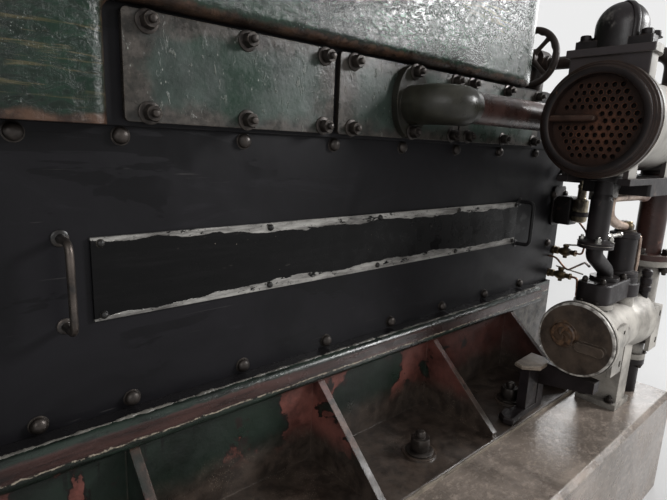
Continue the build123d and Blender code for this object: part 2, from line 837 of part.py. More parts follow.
def make_flywheel():
    middle = (wheel_left + wheel_right) / 2
    rim_inner = wheel_radius - rim_depth
    bore = shaft_radius + 0.05
    wheel = turned_x([
        (wheel_left, bore), (wheel_left, hub_radius - 10), (wheel_left + 10, hub_radius),
        (middle - web_half, hub_radius + 18), (middle - web_half, rim_inner - 16),
        (wheel_left, rim_inner), (wheel_left, wheel_radius - 8),
        (wheel_left + 8, wheel_radius), (wheel_right - 8, wheel_radius),
        (wheel_right, wheel_radius - 8), (wheel_right, rim_inner),
        (middle + web_half, rim_inner - 16), (middle + web_half, hub_radius + 18),
        (wheel_right - 10, hub_radius), (wheel_right, hub_radius - 10),
        (wheel_right, bore)], 0, shaft_z)
    ring = (hub_radius + 18 + rim_inner - 16) / 2
    for i in range(wheel_holes):
        turn = 2 * math.pi * (i + 0.5) / wheel_holes
        wheel -= rod_x(wheel_left, wheel_right, ring * math.cos(turn),
                       shaft_z + ring * math.sin(turn), wheel_hole_radius)
    return wheel


save(make_flywheel(), "flywheel")
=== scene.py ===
"""Dresses the stationary oil engine: worn paint, fasteners, nameplate, cooler, pump and small pipes."""

import json
import math
from collections import namedtuple

import bpy
import numpy as np
from bpy.props import FloatProperty, FloatVectorProperty, PointerProperty
from mathutils import Matrix, Vector


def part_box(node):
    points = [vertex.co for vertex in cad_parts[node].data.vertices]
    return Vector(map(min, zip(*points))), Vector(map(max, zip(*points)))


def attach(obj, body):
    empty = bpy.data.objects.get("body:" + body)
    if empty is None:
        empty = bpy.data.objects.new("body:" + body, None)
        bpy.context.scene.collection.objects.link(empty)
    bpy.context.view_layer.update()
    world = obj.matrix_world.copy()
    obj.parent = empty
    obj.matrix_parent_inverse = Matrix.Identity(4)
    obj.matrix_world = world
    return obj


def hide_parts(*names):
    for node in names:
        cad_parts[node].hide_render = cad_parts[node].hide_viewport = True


bl_info = {
    "name": "Stationary oil engine",
    "version": (1, 0, 0),
    "blender": (4, 5, 0),
    "location": "3D View > Sidebar > Oil engine",
    "description": "Dresses the engine's frame with its fasteners, pipes, castings and worn paint",
    "category": "Object",
}

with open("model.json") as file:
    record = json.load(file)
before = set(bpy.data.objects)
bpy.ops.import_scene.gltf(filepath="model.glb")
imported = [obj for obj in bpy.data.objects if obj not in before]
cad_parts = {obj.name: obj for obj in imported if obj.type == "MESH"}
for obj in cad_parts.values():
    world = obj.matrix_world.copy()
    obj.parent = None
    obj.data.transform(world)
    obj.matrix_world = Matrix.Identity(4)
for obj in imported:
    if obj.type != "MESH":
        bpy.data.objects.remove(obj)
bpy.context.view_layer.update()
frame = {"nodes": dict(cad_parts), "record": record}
nodes = frame["nodes"]

ENGINE = "engine"
WHEEL = "hand_valve_wheel"

# Ways out of a face: the near side, the far side, up, down, towards the cooler and towards the flywheel
NEAR, FAR, UP, DOWN = (0, -1, 0), (0, 1, 0), (0, 0, 1), (0, 0, -1)
COOLER_WAY, FLYWHEEL_WAY = (1, 0, 0), (-1, 0, 0)

NUMBERS = 1, 2, 3  # cylinders, and the covers below them

# Places on the CAD nodes, in metres
FOOT_LEFT, FOOT_RIGHT = -0.888, 0.893
DOOR_COLUMNS, DOOR_ROWS = (0.068, 0.216), (0.017, 0.016)
DOOR_EDGE, DOOR_EDGE_BOLTS = 0.033, (0.148, 0.328)
COVER_COLUMNS, COVER_ROWS = (0.09, 0.511, 0.935), (0.015, 0.016)  # columns as shares of the width
HEAD_EDGE, HEAD_END, HEAD_SIDE = 0.026, 0.05, 0.13
HOLD_DOWN_X, HOLD_DOWN_Y, HOLD_DOWN_BOSS = (-0.475, -0.045, 0.385), 0.548, 0.015
RAIL_FOOT = 0.572, 0.578
RAIL_BANDS = (0.5945, 0.5955), (0.5972, 0.5984), (0.6215, 0.6275)
RAIL_TOP_HALF = 0.4135, 0.4105
CASING_LIP, LEG_LIP = (1.332, 1.323), (1.150, 1.141)
COVER_START, COVER_HALF, COVER_MIDDLE = 0.0115, 0.2225, 1.2085
ELBOW_FLANGE, FLANGE_THICK = 0.112, 0.018
BEAD_LENGTH = 1.668
TUBE_PITCH, TUBE_FIELD, PARTITION_Z = 0.019, 0.097, 0.006
DOME, DOME_RADIUS, DOME_PLATE, RIB_WAY = (0.392, -0.712), 0.058, 0.03, (-0.635, -0.772)
STACK_X, STACK_Y, STACK_JOINT = 0.43, -0.712, 0.878
STACK_PAD_X, STACK_PAD_Z = 0.476, 0.704
PUMP_X = 0.655
PUMP_BOSS = 0.03, 0.008
VESSEL_X = 0.64
CUP_X, CUP_Y = 0.9, -0.47
COCKS = (0.924, 0.652), (0.94, 0.74)
HANDLES = "front_handle_left", "front_handle_right", "rear_handle_left", "rear_handle_right"
HANDLE_FOOT = 0.015
COLUMN_BOLTS = (0, -0.058), (0.058, 0), (0, 0.058), (-0.058, 0)
COLUMN_FLANGE = 0.018
WHEEL_X, WHEEL_SCALLOPS = 0.755, 16
TIMING_FACE, TIMING_FOOT = 0.96, 0.631
GEAR_Z, GEAR_CLEAR, GOVERNOR, GOVERNOR_CLEAR = 0.77, 0.225, (-0.262, 0.905), 0.115
MANIFOLD_Z, MANIFOLD_FACE, CYLINDERS = 1.79, 0.308, (-0.45, -0.007, 0.436)
MANIFOLD_ENDS = ("exhaust_manifold", 0.48, 0.077), ("inlet_manifold", -0.402, 0.061)
HUB_BOLTS, HUB_CIRCLE = (0.6, 2.54, 3.74, 5.68), 0.098


# Sizes and colours that a user would change

def length(name, description, default):
    return FloatProperty(name=name, description=description, default=default, min=0.0005, unit="LENGTH")


def colour(name, description, default):
    return FloatVectorProperty(name=name, description=description, default=[c / 255 for c in default],
                               size=3, min=0, max=1, subtype="COLOR_GAMMA")


class EngineSizes(bpy.types.PropertyGroup):
    """Sizes of the fasteners and small fittings"""
    door_bolt: length("Door bolt", "Radius of a door bolt's domed head", 0.0136)
    door_pitch: length("Door bolt pitch", "Distance from one door bolt to the next", 0.228)
    cover_nut: length("Cover nut", "Width across the flats of a cover plate's nut", 0.0245)
    hold_down_nut: length("Hold-down nut", "Width across the flats of a hold-down nut", 0.046)
    head_nut: length("Head nut", "Width across the flats of a cylinder head's nut", 0.041)
    name_strip: length("Nameplate strip", "Width of the bright strip along the nameplate's edge", 0.017)
    handle_bar: length("Handle bar", "Radius of the doors' bar handles", 0.0062)


class EngineColours(bpy.types.PropertyGroup):
    """Colours of the paints and metals, as they look under plain light"""
    casing: colour("Casing", "Glossy green of the casing", (30, 54, 41))
    plate: colour("Cover plates", "Greyed green of the cover plates", (54, 66, 60))
    door: colour("Door", "Touched-up black of the crankcase door", (27, 26, 29))
    bed: colour("Bedplate", "Old green of the bedplate", (32, 43, 36))
    oxide: colour("Red oxide", "Primer under the bedplate's green", (118, 72, 64))
    dirt: colour("Dirt", "Brown-grey dirt on the bedplate's foot", (66, 56, 49))
    plinth: colour("Plinth", "Floor paint of the plinth", (126, 115, 106))
    cooler: colour("Cooler", "Light grey of the cooler's shell", (158, 154, 147))
    black: colour("Black", "Dull black of the ring, shelf and small castings", (34, 29, 30))
    rust: colour("Tube plate", "Rust of the tube plate", (86, 54, 39))
    column: colour("Column", "Brown of the return column", (66, 43, 38))
    pump: colour("Pump", "Silver paint of the pump", (166, 161, 153))
    bolts: colour("Fasteners", "Dark iron of nuts and bolts", (60, 54, 50))


def sizes():
    return bpy.context.scene.oil_engine_sizes


# Shapes as arrays: points (n, 3) and a list of face index arrays (m, k)

Shape = namedtuple("Shape", "points faces")


def facing_out(shape):
    """Turns every face round if the closed shape's volume, the sum of p0 . (p1 x p2) / 6, is negative."""
    total = 0.0
    for faces in shape.faces:
        first = shape.points[faces[:, :1]]
        total += np.sum(first * np.cross(shape.points[faces[:, 1:-1]], shape.points[faces[:, 2:]]))
    if total >= 0:
        return shape
    return Shape(shape.points, [faces[:, ::-1] for faces in shape.faces])


def skin(rings, wrap=False):
    """Quads between each ring (r, n, 3) and the next, with flat ends. With wrap the last ring joins the first."""
    count, around = rings.shape[:2]
    ring = np.arange(count if wrap else count - 1)[:, None] * around
    step = np.arange(around)
    lower = np.stack(np.broadcast_arrays(ring + step, ring + (step + 1) % around), -1)
    upper = (lower + around) % (count * around)
    faces = [np.concatenate([lower, upper[..., ::-1]], -1).reshape(-1, 4)]
    if not wrap:
        faces += [step[None, ::-1], step[None] + (count - 1) * around]
    return facing_out(Shape(rings.reshape(-1, 3), faces))


def joined(*shapes):
    """One shape of several: the points follow each other and each part's faces move up by the points before."""
    starts = np.cumsum([0] + [len(s.points) for s in shapes[:-1]])
    faces = [f + start for s, start in zip(shapes, starts) for f in s.faces]
    return Shape(np.concatenate([s.points for s in shapes]), faces)


def basis(out):
    """Columns u, v, out: two square directions and the way out, so that a local point is u x + v y + out z."""
    out = np.asarray(out, float) / np.linalg.norm(out)
    side = np.cross((0, 0, 1) if abs(out[2]) < 0.9 else (0, 1, 0), out)
    side /= np.linalg.norm(side)
    return np.stack([side, np.cross(out, side), out], 1)


def placed(shape, place, out=UP):
    """The shape with its own Z laid along out and its origin at place."""
    return Shape(shape.points @ basis(out).T + np.asarray(place, float), shape.faces)


def lifted(shape, height):
    return Shape(shape.points + (0, 0, height), shape.faces)


def points_of(x, y, z):
    return np.stack(np.broadcast_arrays(x, y, z), -1)


def copies(shape, places, out=UP, seed=0, tilt=0.0):
    """Many of one shape. Each is turned about its own Z by a seeded angle a, as (x cos a - y sin a,
    x sin a + y cos a, z), leans by a seeded share of tilt, and is laid along out at its place."""
    places = np.asarray(places, float).reshape(-1, 3)
    draw = np.random.default_rng(seed)
    angle = draw.uniform(0, 2 * math.pi, len(places))[:, None]
    lean = draw.uniform(-tilt, tilt, (len(places), 2))
    x, y, z = shape.points.T
    local = points_of(x * np.cos(angle) - y * np.sin(angle) + lean[:, :1] * z,
                      x * np.sin(angle) + y * np.cos(angle) + lean[:, 1:] * z, z)
    points = (local @ basis(out).T + places[:, None]).reshape(-1, 3)
    shift = (np.arange(len(places)) * len(shape.points))[:, None, None]
    return Shape(points, [(f[None] + shift).reshape(-1, f.shape[1]) for f in shape.faces])


def circle(count):
    return np.arange(count) * 2 * math.pi / count


def lathe(profile, around=40, wrap=False):
    """Turned shape: each (r, z) of the profile goes round as (r cos a, r sin a, z)."""
    radius, height = np.asarray(profile, float).T[..., None]
    angle = circle(around)
    return skin(points_of(radius * np.cos(angle), radius * np.sin(angle), height), wrap=wrap)


def rounded_outline(half_x, half_y, corner, steps=6):
    """Rounded rectangle: four quarter circles of radius corner about the points half - corner."""
    quarter = np.linspace(0, math.pi / 2, steps + 1)
    angle = quarter + np.arange(4)[:, None] * math.pi / 2
    sign = np.array([(1, 1), (-1, 1), (-1, -1), (1, -1)], float)[:, None]
    centre = sign * (np.array([half_x, half_y]) - corner)
    return (centre + corner * np.stack([np.cos(angle), np.sin(angle)], -1)).reshape(-1, 2)


def slab(half_x, half_y, thick, corner, edge, steps=6):
    """Plate from z 0 to thick: its rounded outline moves in by edge (1 - sin a) and up by edge (1 - cos a)
    as a goes from 0 to a quarter turn, and back again at the top."""
    turn = np.linspace(0, math.pi / 2, 4)
    inset, rise = edge * (1 - np.sin(turn)), edge * (1 - np.cos(turn))
    insets = np.concatenate([inset, inset[::-1]])
    levels = np.concatenate([rise, thick - rise[::-1]])
    rings = [np.column_stack([rounded_outline(half_x - i, half_y - i, max(corner - i, 0.0004), steps),
                              np.full(4 * (steps + 1), z)]) for i, z in zip(insets, levels)]
    return skin(np.array(rings))


def hexagon(across, height, chamfer=0.1, around=24):
    """Six-sided prism: at angle a its radius is half the width over cos(a mod 60 - 30), and near both ends
    the smaller of that and a circle, which cuts the usual chamfer."""
    half, drop, angle = across / 2, chamfer * across, circle(around)
    flat = half / np.cos(np.mod(angle, math.pi / 3) - math.pi / 6)
    radius = np.minimum(flat, half * np.array([0.97, 1.16, 1.16, 0.97])[:, None])
    level = np.array([0, drop, height - drop, height])[:, None]
    return skin(points_of(radius * np.cos(angle), radius * np.sin(angle), level))


def washer(radius, thick):
    return lathe([(radius, 0), (radius, thick * 0.7), (radius * 0.93, thick), (radius * 0.4, thick)], 28)


def stud_nut(across):
    """A washer, a hexagon nut and the stud's domed end, standing on z 0."""
    thick, tall, stud = across * 0.13, across * 0.72, across * 0.27
    end = lathe([(stud, 0), (stud, tall * 0.38), (stud * 0.75, tall * 0.5), (stud * 0.3, tall * 0.54)], 16)
    return joined(washer(across * 0.76, thick), lifted(hexagon(across, tall), thick),
                  lifted(end, thick + tall * 0.98))


def hex_bolt(across):
    """A washer and a bolt head with its shallow domed top, standing on z 0."""
    thick, tall = across * 0.11, across * 0.55
    dome = lathe([(across * 0.46, 0), (across * 0.36, across * 0.035), (across * 0.15, across * 0.06)], 24)
    return joined(washer(across * 0.72, thick), lifted(hexagon(across, tall), thick),
                  lifted(dome, thick + tall * 0.995))


def cup_bolt(radius):
    """A thin washer and a domed head: r = R cos t, z = 0.72 R sin t, on a short rim."""
    t = np.linspace(0, 1.45, 9)
    dome = np.column_stack([radius * np.cos(t), radius * (0.22 + 0.72 * np.sin(t))])
    profile = np.vstack([[(radius * 0.96, 0), (radius, radius * 0.08)], dome])
    return joined(washer(radius * 1.14, radius * 0.1), lifted(lathe(profile, 28), radius * 0.09))


def cap_nut(across):
    """A hexagon nut under a smooth dome: r = 0.44 a cos t, z = 0.44 a sin t, standing on z 0."""
    t = np.linspace(0, 1.4, 7)
    dome = np.column_stack([0.44 * across * np.cos(t), 0.44 * across * np.sin(t)])
    return joined(washer(across * 0.68, across * 0.1), lifted(hexagon(across, across * 0.6), across * 0.1),
                  lifted(lathe(dome, 20), across * 0.69))


def rounded_path(points, radius, steps=8):
    """A route of straight runs: each corner is cut off at equal distances d and bridged by the curve
    (1 - t)^2 a + 2 t (1 - t) corner + t^2 b."""
    points = np.asarray(points, float)
    t = np.linspace(0, 1, steps + 1)[:, None]
    route = [points[:1]]
    for before, corner, after in zip(points[:-2], points[1:-1], points[2:]):
        arms = [before - corner, after - corner]
        spans = [np.linalg.norm(arm) for arm in arms]
        cut = min(radius, 0.48 * min(spans))
        a, b = (corner + arm / span * cut for arm, span in zip(arms, spans))
        route.append((1 - t) ** 2 * a + 2 * t * (1 - t) * corner + t ** 2 * b)
    return np.concatenate(route + [points[-1:]])


def swept(path, section, up=UP, scale=1.0):
    """A section (n, 2) carried along a path (m, 3): at each point the tangent T, the side S = up x T and
    the rise T x S make the frame, and a section point lies at path + S x + rise y."""
    path = np.asarray(path, float)
    tangent = np.gradient(path, axis=0)
    tangent /= np.linalg.norm(tangent, axis=1)[:, None]
    side = np.cross(up, tangent)
    side /= np.linalg.norm(side, axis=1)[:, None]
    spread = section[None] * np.broadcast_to(scale, len(path))[:, None, None]
    return skin(path[:, None] + side[:, None] * spread[..., :1] + np.cross(tangent, side)[:, None] * spread[..., 1:])


def round_section(radius, around=20):
    return radius * np.column_stack([np.cos(circle(around)), np.sin(circle(around))])


def pipe(points, radius, bend, up=UP, around=20):
    return swept(rounded_path(points, bend), round_section(radius, around), up)


def along(start, end, count):
    """Evenly spaced points from start to end, as (1 - t) start + t end."""
    t = np.linspace(0, 1, count)[:, None]
    return (1 - t) * np.asarray(start, float) + t * np.asarray(end, float)


def ring_of(centre, out, radius, count, first=0.0):
    """Points on a circle about centre, square to out: centre + radius (u cos a + v sin a)."""
    u, v, _ = basis(out).T
    angle = (circle(count) + first)[:, None]
    return np.asarray(centre, float) + radius * (u * np.cos(angle) + v * np.sin(angle))


def prism(outline, bottom, top, edge):
    """A flat outline (n, 2) from bottom to top: the two end rings are drawn in towards the middle by edge."""
    outline = np.array(outline)
    middle = outline.mean(0)
    away = outline - middle
    inner = middle + away * (1 - edge / np.linalg.norm(away, axis=1))[:, None]
    levels = ((inner, bottom), (outline, bottom + edge), (outline, top - edge), (inner, top))
    return skin(np.array([np.column_stack([plan, np.full(len(plan), z)]) for plan, z in levels]))


def wandering(count, seed):
    """Three seeded lines of noise, each the running sum of five draws from -1 to 1, over 2.2."""
    noise = np.random.default_rng(seed).uniform(-1, 1, (3, count + 4))
    return sum(noise[:, i:i + count] for i in range(5)) / 2.2


def mirrored(places):
    """The same places on the far side, which is the near side with Y turned about."""
    return np.asarray(places, float) * (1, -1, 1)


def middle_of(name):
    """The middle of a CAD node's box."""
    return np.array([(a + b) / 2 for a, b in zip(*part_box(name))])


def add_piece(name, shape, finish, body=ENGINE, stands_for=(), smooth=38):
    """Makes the mesh from the arrays, smooth but for edges sharper than smooth degrees, and lets it ride.
    It takes the finish as its material."""
    mesh = bpy.data.meshes.new(name)
    counts = np.concatenate([np.full(len(f), f.shape[1]) for f in shape.faces])
    corners = np.concatenate([f.ravel() for f in shape.faces])
    mesh.vertices.add(len(shape.points))
    mesh.vertices.foreach_set("co", shape.points.astype(np.float32).ravel())
    mesh.loops.add(len(corners))
    mesh.loops.foreach_set("vertex_index", corners.astype(np.int32))
    mesh.polygons.add(len(counts))
    mesh.polygons.foreach_set("loop_start", (np.cumsum(counts) - counts).astype(np.int32))
    mesh.update(calc_edges=True)
    mesh.validate()
    mesh.polygons.foreach_set("use_smooth", np.ones(len(mesh.polygons), bool))
    mesh.set_sharp_from_angle(angle=math.radians(smooth))
    mesh.materials.append(finishes[finish])
    piece = bpy.data.objects.new(name, mesh)
    bpy.context.scene.collection.objects.link(piece)
    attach(piece, body)
    if stands_for:
        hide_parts(*stands_for)
    return piece


def fasten(name, slot, *groups, finish="fastener_iron"):
    """One piece of fasteners. Each group is a shape, its places, the way out, a seed and a tilt."""
    add_piece(name, joined(*[copies(*group) for group in groups]), finish)


# Materials

finishes = {}


def linear(shade):
    """A colour as light: ((c + 0.055) / 1.055) ^ 2.4, or c / 12.92 near black."""
    return [c / 12.92 if c <= 0.04045 else ((c + 0.055) / 1.055) ** 2.4 for c in shade]


def shades(paint, *factors):
    """The colour made lighter or darker by each factor, as light."""
    return [[min(c * f, 1) for c in linear(paint)] for f in factors]


class Finish:
    """One material's node tree. Each method adds nodes and gives an output, or lays a coat over the base.
    In mix and coat, a tuple is a colour as it looks, and a list is one as light."""

    def __init__(self, name):
        self.name, self.base, self.normal = name, None, None
        self.material = bpy.data.materials.new(name)
        self.material.use_nodes = True
        self.tree = self.material.node_tree
        self.shader = self.tree.nodes["Principled BSDF"]
        self.place = self.node("ShaderNodeTexCoord").outputs["Object"]

    def node(self, kind, inputs=None, **settings):
        made = self.tree.nodes.new(kind)
        for key, value in settings.items():
            setattr(made, key, value)
        for key, value in (inputs or {}).items():
            self.feed(made.inputs[key], value)
        return made

    def feed(self, socket, value):
        if isinstance(value, bpy.types.NodeSocket):
            self.tree.links.new(value, socket)
        elif isinstance(value, (tuple, list)) and len(value) == 3 and socket.type == "RGBA":
            socket.default_value = (*value, 1)
        else:
            socket.default_value = value

    def stretch(self, scale, turn=(0, 0, 0)):
        return self.node("ShaderNodeMapping", {"Vector": self.place, "Scale": scale,
                                               "Rotation": turn}).outputs["Vector"]

    def noise(self, scale, detail=4, rough=0.55, stretch=None, warp=0.0, turn=(0, 0, 0)):
        place = self.place if stretch is None else self.stretch(stretch, turn)
        return self.node("ShaderNodeTexNoise", {"Vector": place, "Scale": scale, "Detail": detail,
                                                "Roughness": rough, "Distortion": warp}).outputs["Fac"]

    def cells(self, scale, stretch=None):
        place = self.place if stretch is None else self.stretch(stretch)
        return self.node("ShaderNodeTexVoronoi", {"Vector": place, "Scale": scale}).outputs["Distance"]

    def ramp(self, value, low, high, start=0.0, end=1.0):
        return self.node("ShaderNodeMapRange", {"Value": value, "From Min": low, "From Max": high,
                                                "To Min": start, "To Max": end},
                         interpolation_type="SMOOTHSTEP").outputs["Result"]

    def math(self, kind, a, b):
        """The sum, product or other result of two values, kept from 0 to 1."""
        return self.node("ShaderNodeMath", {0: a, 1: b}, operation=kind, use_clamp=True).outputs[0]

    def calc(self, kind, *values):
        return self.node("ShaderNodeMath", dict(enumerate(values)), operation=kind).outputs[0]

    def vector(self, kind, *values):
        return self.node("ShaderNodeVectorMath", dict(enumerate(values)), operation=kind).outputs["Value"]

    def mix(self, share, first, second):
        made = self.node("ShaderNodeMix", data_type="RGBA")
        for index, value in ((0, share), (6, first), (7, second)):
            self.feed(made.inputs[index], linear(value) if isinstance(value, tuple) else value)
        return made.outputs[2]

    def times(self, first, *others):
        for other in others:
            first = self.math("MULTIPLY", first, other)
        return first

    def blot(self, low, high, *noise, **more):
        """Patches: noise that is nought below low and one above high."""
        return self.ramp(self.noise(*noise, **more), low, high)

    def mottle(self, first, second, low, high, *noise, **more):
        """Two colours in patches."""
        return self.mix(self.blot(low, high, *noise, **more), first, second)

    def ragged(self, value, reach, *noise, **more):
        """A value made uneven by noise times reach."""
        return self.calc("MULTIPLY_ADD", self.noise(*noise, **more), reach, value)

    def sheen(self, low, high, *noise, **more):
        """Roughness that wanders from low to high."""
        return self.ramp(self.noise(*noise, **more), 0.3, 0.7, low, high)

    def coat(self, shade, *masks):
        """Lays a colour over the base where the product of the masks is one."""
        self.base = self.mix(self.times(*masks), self.base, shade)

    def axis(self, name, of=None):
        return self.node("ShaderNodeSeparateXYZ", {0: self.place if of is None else of}).outputs[name]

    def facing(self, name):
        """One coordinate of the true normal."""
        return self.axis(name, self.node("ShaderNodeNewGeometry").outputs["Normal"])

    def flat(self, name):
        """Y and Z from the stack's line and the middle of a CAD node."""
        y = self.calc("SUBTRACT", self.axis("Y"), STACK_Y)
        z = self.calc("SUBTRACT", self.axis("Z"), middle_of(name)[2])
        return self.node("ShaderNodeCombineXYZ", {0: y, 1: z}).outputs[0]

    def soft(self, radius):
        """The normal rounded off over a radius."""
        return self.node("ShaderNodeBevel", {"Radius": radius}, samples=2).outputs["Normal"]

    def edges(self, radius=0.004, low=0.02, high=0.3):
        """Nought on flat stretches and one on sharp edges: how far the rounded normal leaves the true one."""
        true = self.node("ShaderNodeNewGeometry").outputs["Normal"]
        return self.ramp(self.vector("DOT_PRODUCT", self.soft(radius), true), 1 - low, 1 - high)

    def corners(self, distance, low, high):
        """One in corners and nought in the open, from ambient occlusion."""
        shade = self.node("ShaderNodeAmbientOcclusion", {"Distance": distance}, samples=3).outputs["AO"]
        return self.ramp(shade, high, low)

    def bump(self, height, strength, distance, rounding=None):
        inputs = {"Height": height, "Strength": strength, "Distance": distance}
        if rounding:
            inputs["Normal"] = self.soft(rounding)
        if self.normal is not None:
            inputs["Normal"] = self.normal
        self.normal = self.node("ShaderNodeBump", inputs).outputs["Normal"]

    def done(self, rough, metal=0.0, specular=0.5):
        """Feeds the shader and keeps the material under its name."""
        self.shader.inputs["Specular IOR Level"].default_value = specular
        for key, value in (("Base Color", self.base), ("Roughness", rough), ("Metallic", metal)):
            self.feed(self.shader.inputs[key], value)
        if self.normal is not None:
            self.tree.links.new(self.normal, self.shader.inputs["Normal"])
        finishes[self.name] = self.material


def casing_paint(paint):
    """Glossy green brushed thick over old coats: wrinkled brush marks, dark patches, runs, ochre scratches,
    light specks and a band of bare primer along the lower lips, with painted shade in the wrinkles' hollows and in
    corners."""
    f = Finish("casing_green")
    dark, mid, light = shades(paint, 0.25, 0.85, 1.8)
    f.base = f.mottle(dark, mid, 0.34, 0.66, 3.1, 6, 0.65, warp=0.6)
    f.coat((0.13, 0.15, 0.135), f.blot(0.5, 0.68, 1.7, 5, 0.6), 0.7)
    brush = f.noise(1.0, 7, 0.72, (22, 22, 95), 0.7)
    f.coat(light, f.ramp(brush, 0.5, 0.62), f.blot(0.42, 0.62, 4.5, 5, 0.65), 0.4)
    wrinkle = f.blot(0.4, 0.58, 1.0, 8, 0.7, (38, 38, 60), 1.2)
    # painted shade: the colour darkens in the hollows of the wrinkled relief
    f.coat((0.06, 0.065, 0.058), f.math("SUBTRACT", 0.5, f.times(wrinkle, 0.5)))
    scrape = f.blot(0.55, 0.62, 1.0, 5, 0.7, (6, 6, 95), 0.5, (0, 0.35, 0))
    f.coat((0.33, 0.3, 0.2), scrape, f.blot(0.57, 0.66, 2.2, 5), 0.7)
    f.coat((0.5, 0.53, 0.5), f.ramp(f.cells(170), 0.17, 0.08), f.blot(0.5, 0.62, 9, 3), 0.8)
    level = f.ragged(f.axis("Z"), 0.03, 16, 6, 0.7)
    lip = f.times(f.ramp(level, *CASING_LIP), f.ramp(f.axis("X"), -0.72, -0.70))
    lip = f.math("ADD", lip, f.ramp(level, *LEG_LIP))
    f.coat(f.mottle((0.17, 0.11, 0.09), (0.33, 0.24, 0.19), 0.38, 0.64, 24, 6, 0.7), lip, 0.85)
    f.coat((0.27, 0.2, 0.165), f.edges(0.005), f.blot(0.35, 0.6, 30, 4))
    # painted shade: dark brown laid in corners found by ambient occlusion; the same mask also makes them rougher
    corner_shade_and_dirt = f.times(f.corners(0.07, 0.35, 0.85), f.blot(0.25, 0.6, 9, 5))
    f.coat((0.12, 0.09, 0.075), corner_shade_and_dirt)
    f.bump(wrinkle, 0.3, 0.0013, 0.003)
    f.bump(f.noise(1.0, 5, 0.65, (30, 30, 7)), 0.5, 0.0028)
    f.bump(brush, 0.4, 0.001)
    rough = f.math("ADD", f.ramp(f.noise(6, 5, 0.7), 0.3, 0.75, 0.16, 0.34), f.times(corner_shade_and_dirt, 0.4))
    f.done(rough, specular=0.32)


def plate_paint(paint):
    """Greyed green, greener in the middle of each cover and brown with dirt round its border, with painted shade round
    its nuts and in corners, small drips, dents and white flecks. Distance from a cover's middle is a triangle wave
    along X."""
    f = Finish("plate_green")
    f.base = f.mottle(*shades(paint, 0.5, 1.15), 0.32, 0.68, 7, 6, 0.65)
    f.coat((0.07, 0.17, 0.12), f.blot(0.48, 0.68, 6, 5, 0.6, warp=0.5))
    side = f.calc("PINGPONG", f.calc("ADD", f.axis("X"), COVER_START), COVER_HALF)
    rise = f.calc("ABSOLUTE", f.calc("SUBTRACT", f.axis("Z"), COVER_MIDDLE))
    wander = f.calc("SUBTRACT", f.noise(11, 6, 0.65), 0.5)
    side = f.calc("MULTIPLY_ADD", wander, 0.16, side)
    rise = f.calc("MULTIPLY_ADD", wander, 0.12, rise)
    border = f.math("MAXIMUM", f.ramp(side, 0.155, 0.205), f.ramp(rise, 0.045, 0.08))
    f.coat(f.mottle((0.15, 0.13, 0.12), (0.29, 0.26, 0.24), 0.35, 0.65, 40, 6, 0.7), border, 0.85)
    drip = f.times(f.blot(0.6, 0.66, 1.0, 6, 0.6, (75, 75, 26), 0.6), f.blot(0.4, 0.56, 10, 4))
    f.coat((0.42, 0.43, 0.4), drip, 0.45)
    f.coat((0.58, 0.59, 0.56), f.ramp(f.cells(120, (1, 1, 0.45)), 0.14, 0.06), f.blot(0.5, 0.6, 17, 3), 0.85)
    f.coat((0.42, 0.37, 0.32), f.edges(0.003), f.blot(0.35, 0.6, 50, 4))
    # painted shade: darker round the nuts and in other corners, found by ambient occlusion
    f.coat((0.1, 0.085, 0.075), f.corners(0.035, 0.3, 0.9), f.blot(0.15, 0.5, 14, 5))
    f.bump(f.noise(28, 6, 0.65), 0.45, 0.0026, 0.003)
    f.bump(drip, 0.7, 0.0012)
    f.bump(f.noise(110, 5, 0.7), 0.4, 0.0009)
    f.done(f.sheen(0.22, 0.44, 10, 5, 0.7), specular=0.4)


def door_paint(paint):
    """Near-black sheet touched up by brush: patches with sharp brushed borders, cloudy smudges, fine
    scratches and a thin worn edge."""
    f = Finish("case_black")
    dark, dull, mid, light = shades(paint, 0.3, 0.6, 1.0, 2.2)
    smudge = f.blot(0.35, 0.72, 3.1, 6, 0.62, warp=0.8)
    f.base = f.mix(smudge, dull, mid)
    brushed = f.times(f.blot(0.545, 0.56, 1.0, 5, 0.6, (2.2, 2.2, 9), 0.5), f.blot(0.47, 0.55, 2.3, 4))
    f.coat(dark, brushed, 0.7)
    f.coat(light, f.blot(0.55, 0.75, 1.0, 6, 0.7, (4, 4, 15), 1.2, (0, 0.5, 0)), 0.3)
    f.coat((0.36, 0.35, 0.34), f.blot(0.7, 0.74, 1.0, 3, 0.6, (6, 6, 170), 0.3, (0, 0.2, 0)), 0.2)
    f.coat((0.26, 0.24, 0.22), f.edges(0.002), f.blot(0.4, 0.6, 40, 3))
    f.bump(f.noise(9, 4, 0.6), 0.25, 0.003, 0.0025)
    f.bump(brushed, 0.25, 0.0003)
    f.bump(f.noise(240, 2), 0.12, 0.0004)
    rough = f.ramp(f.noise(3.3, 6, 0.7, warp=0.6), 0.3, 0.72, 0.34, 0.55)
    f.done(f.mix(brushed, rough, f.ramp(smudge, 0, 1, 0.3, 0.38)), specular=0.16)


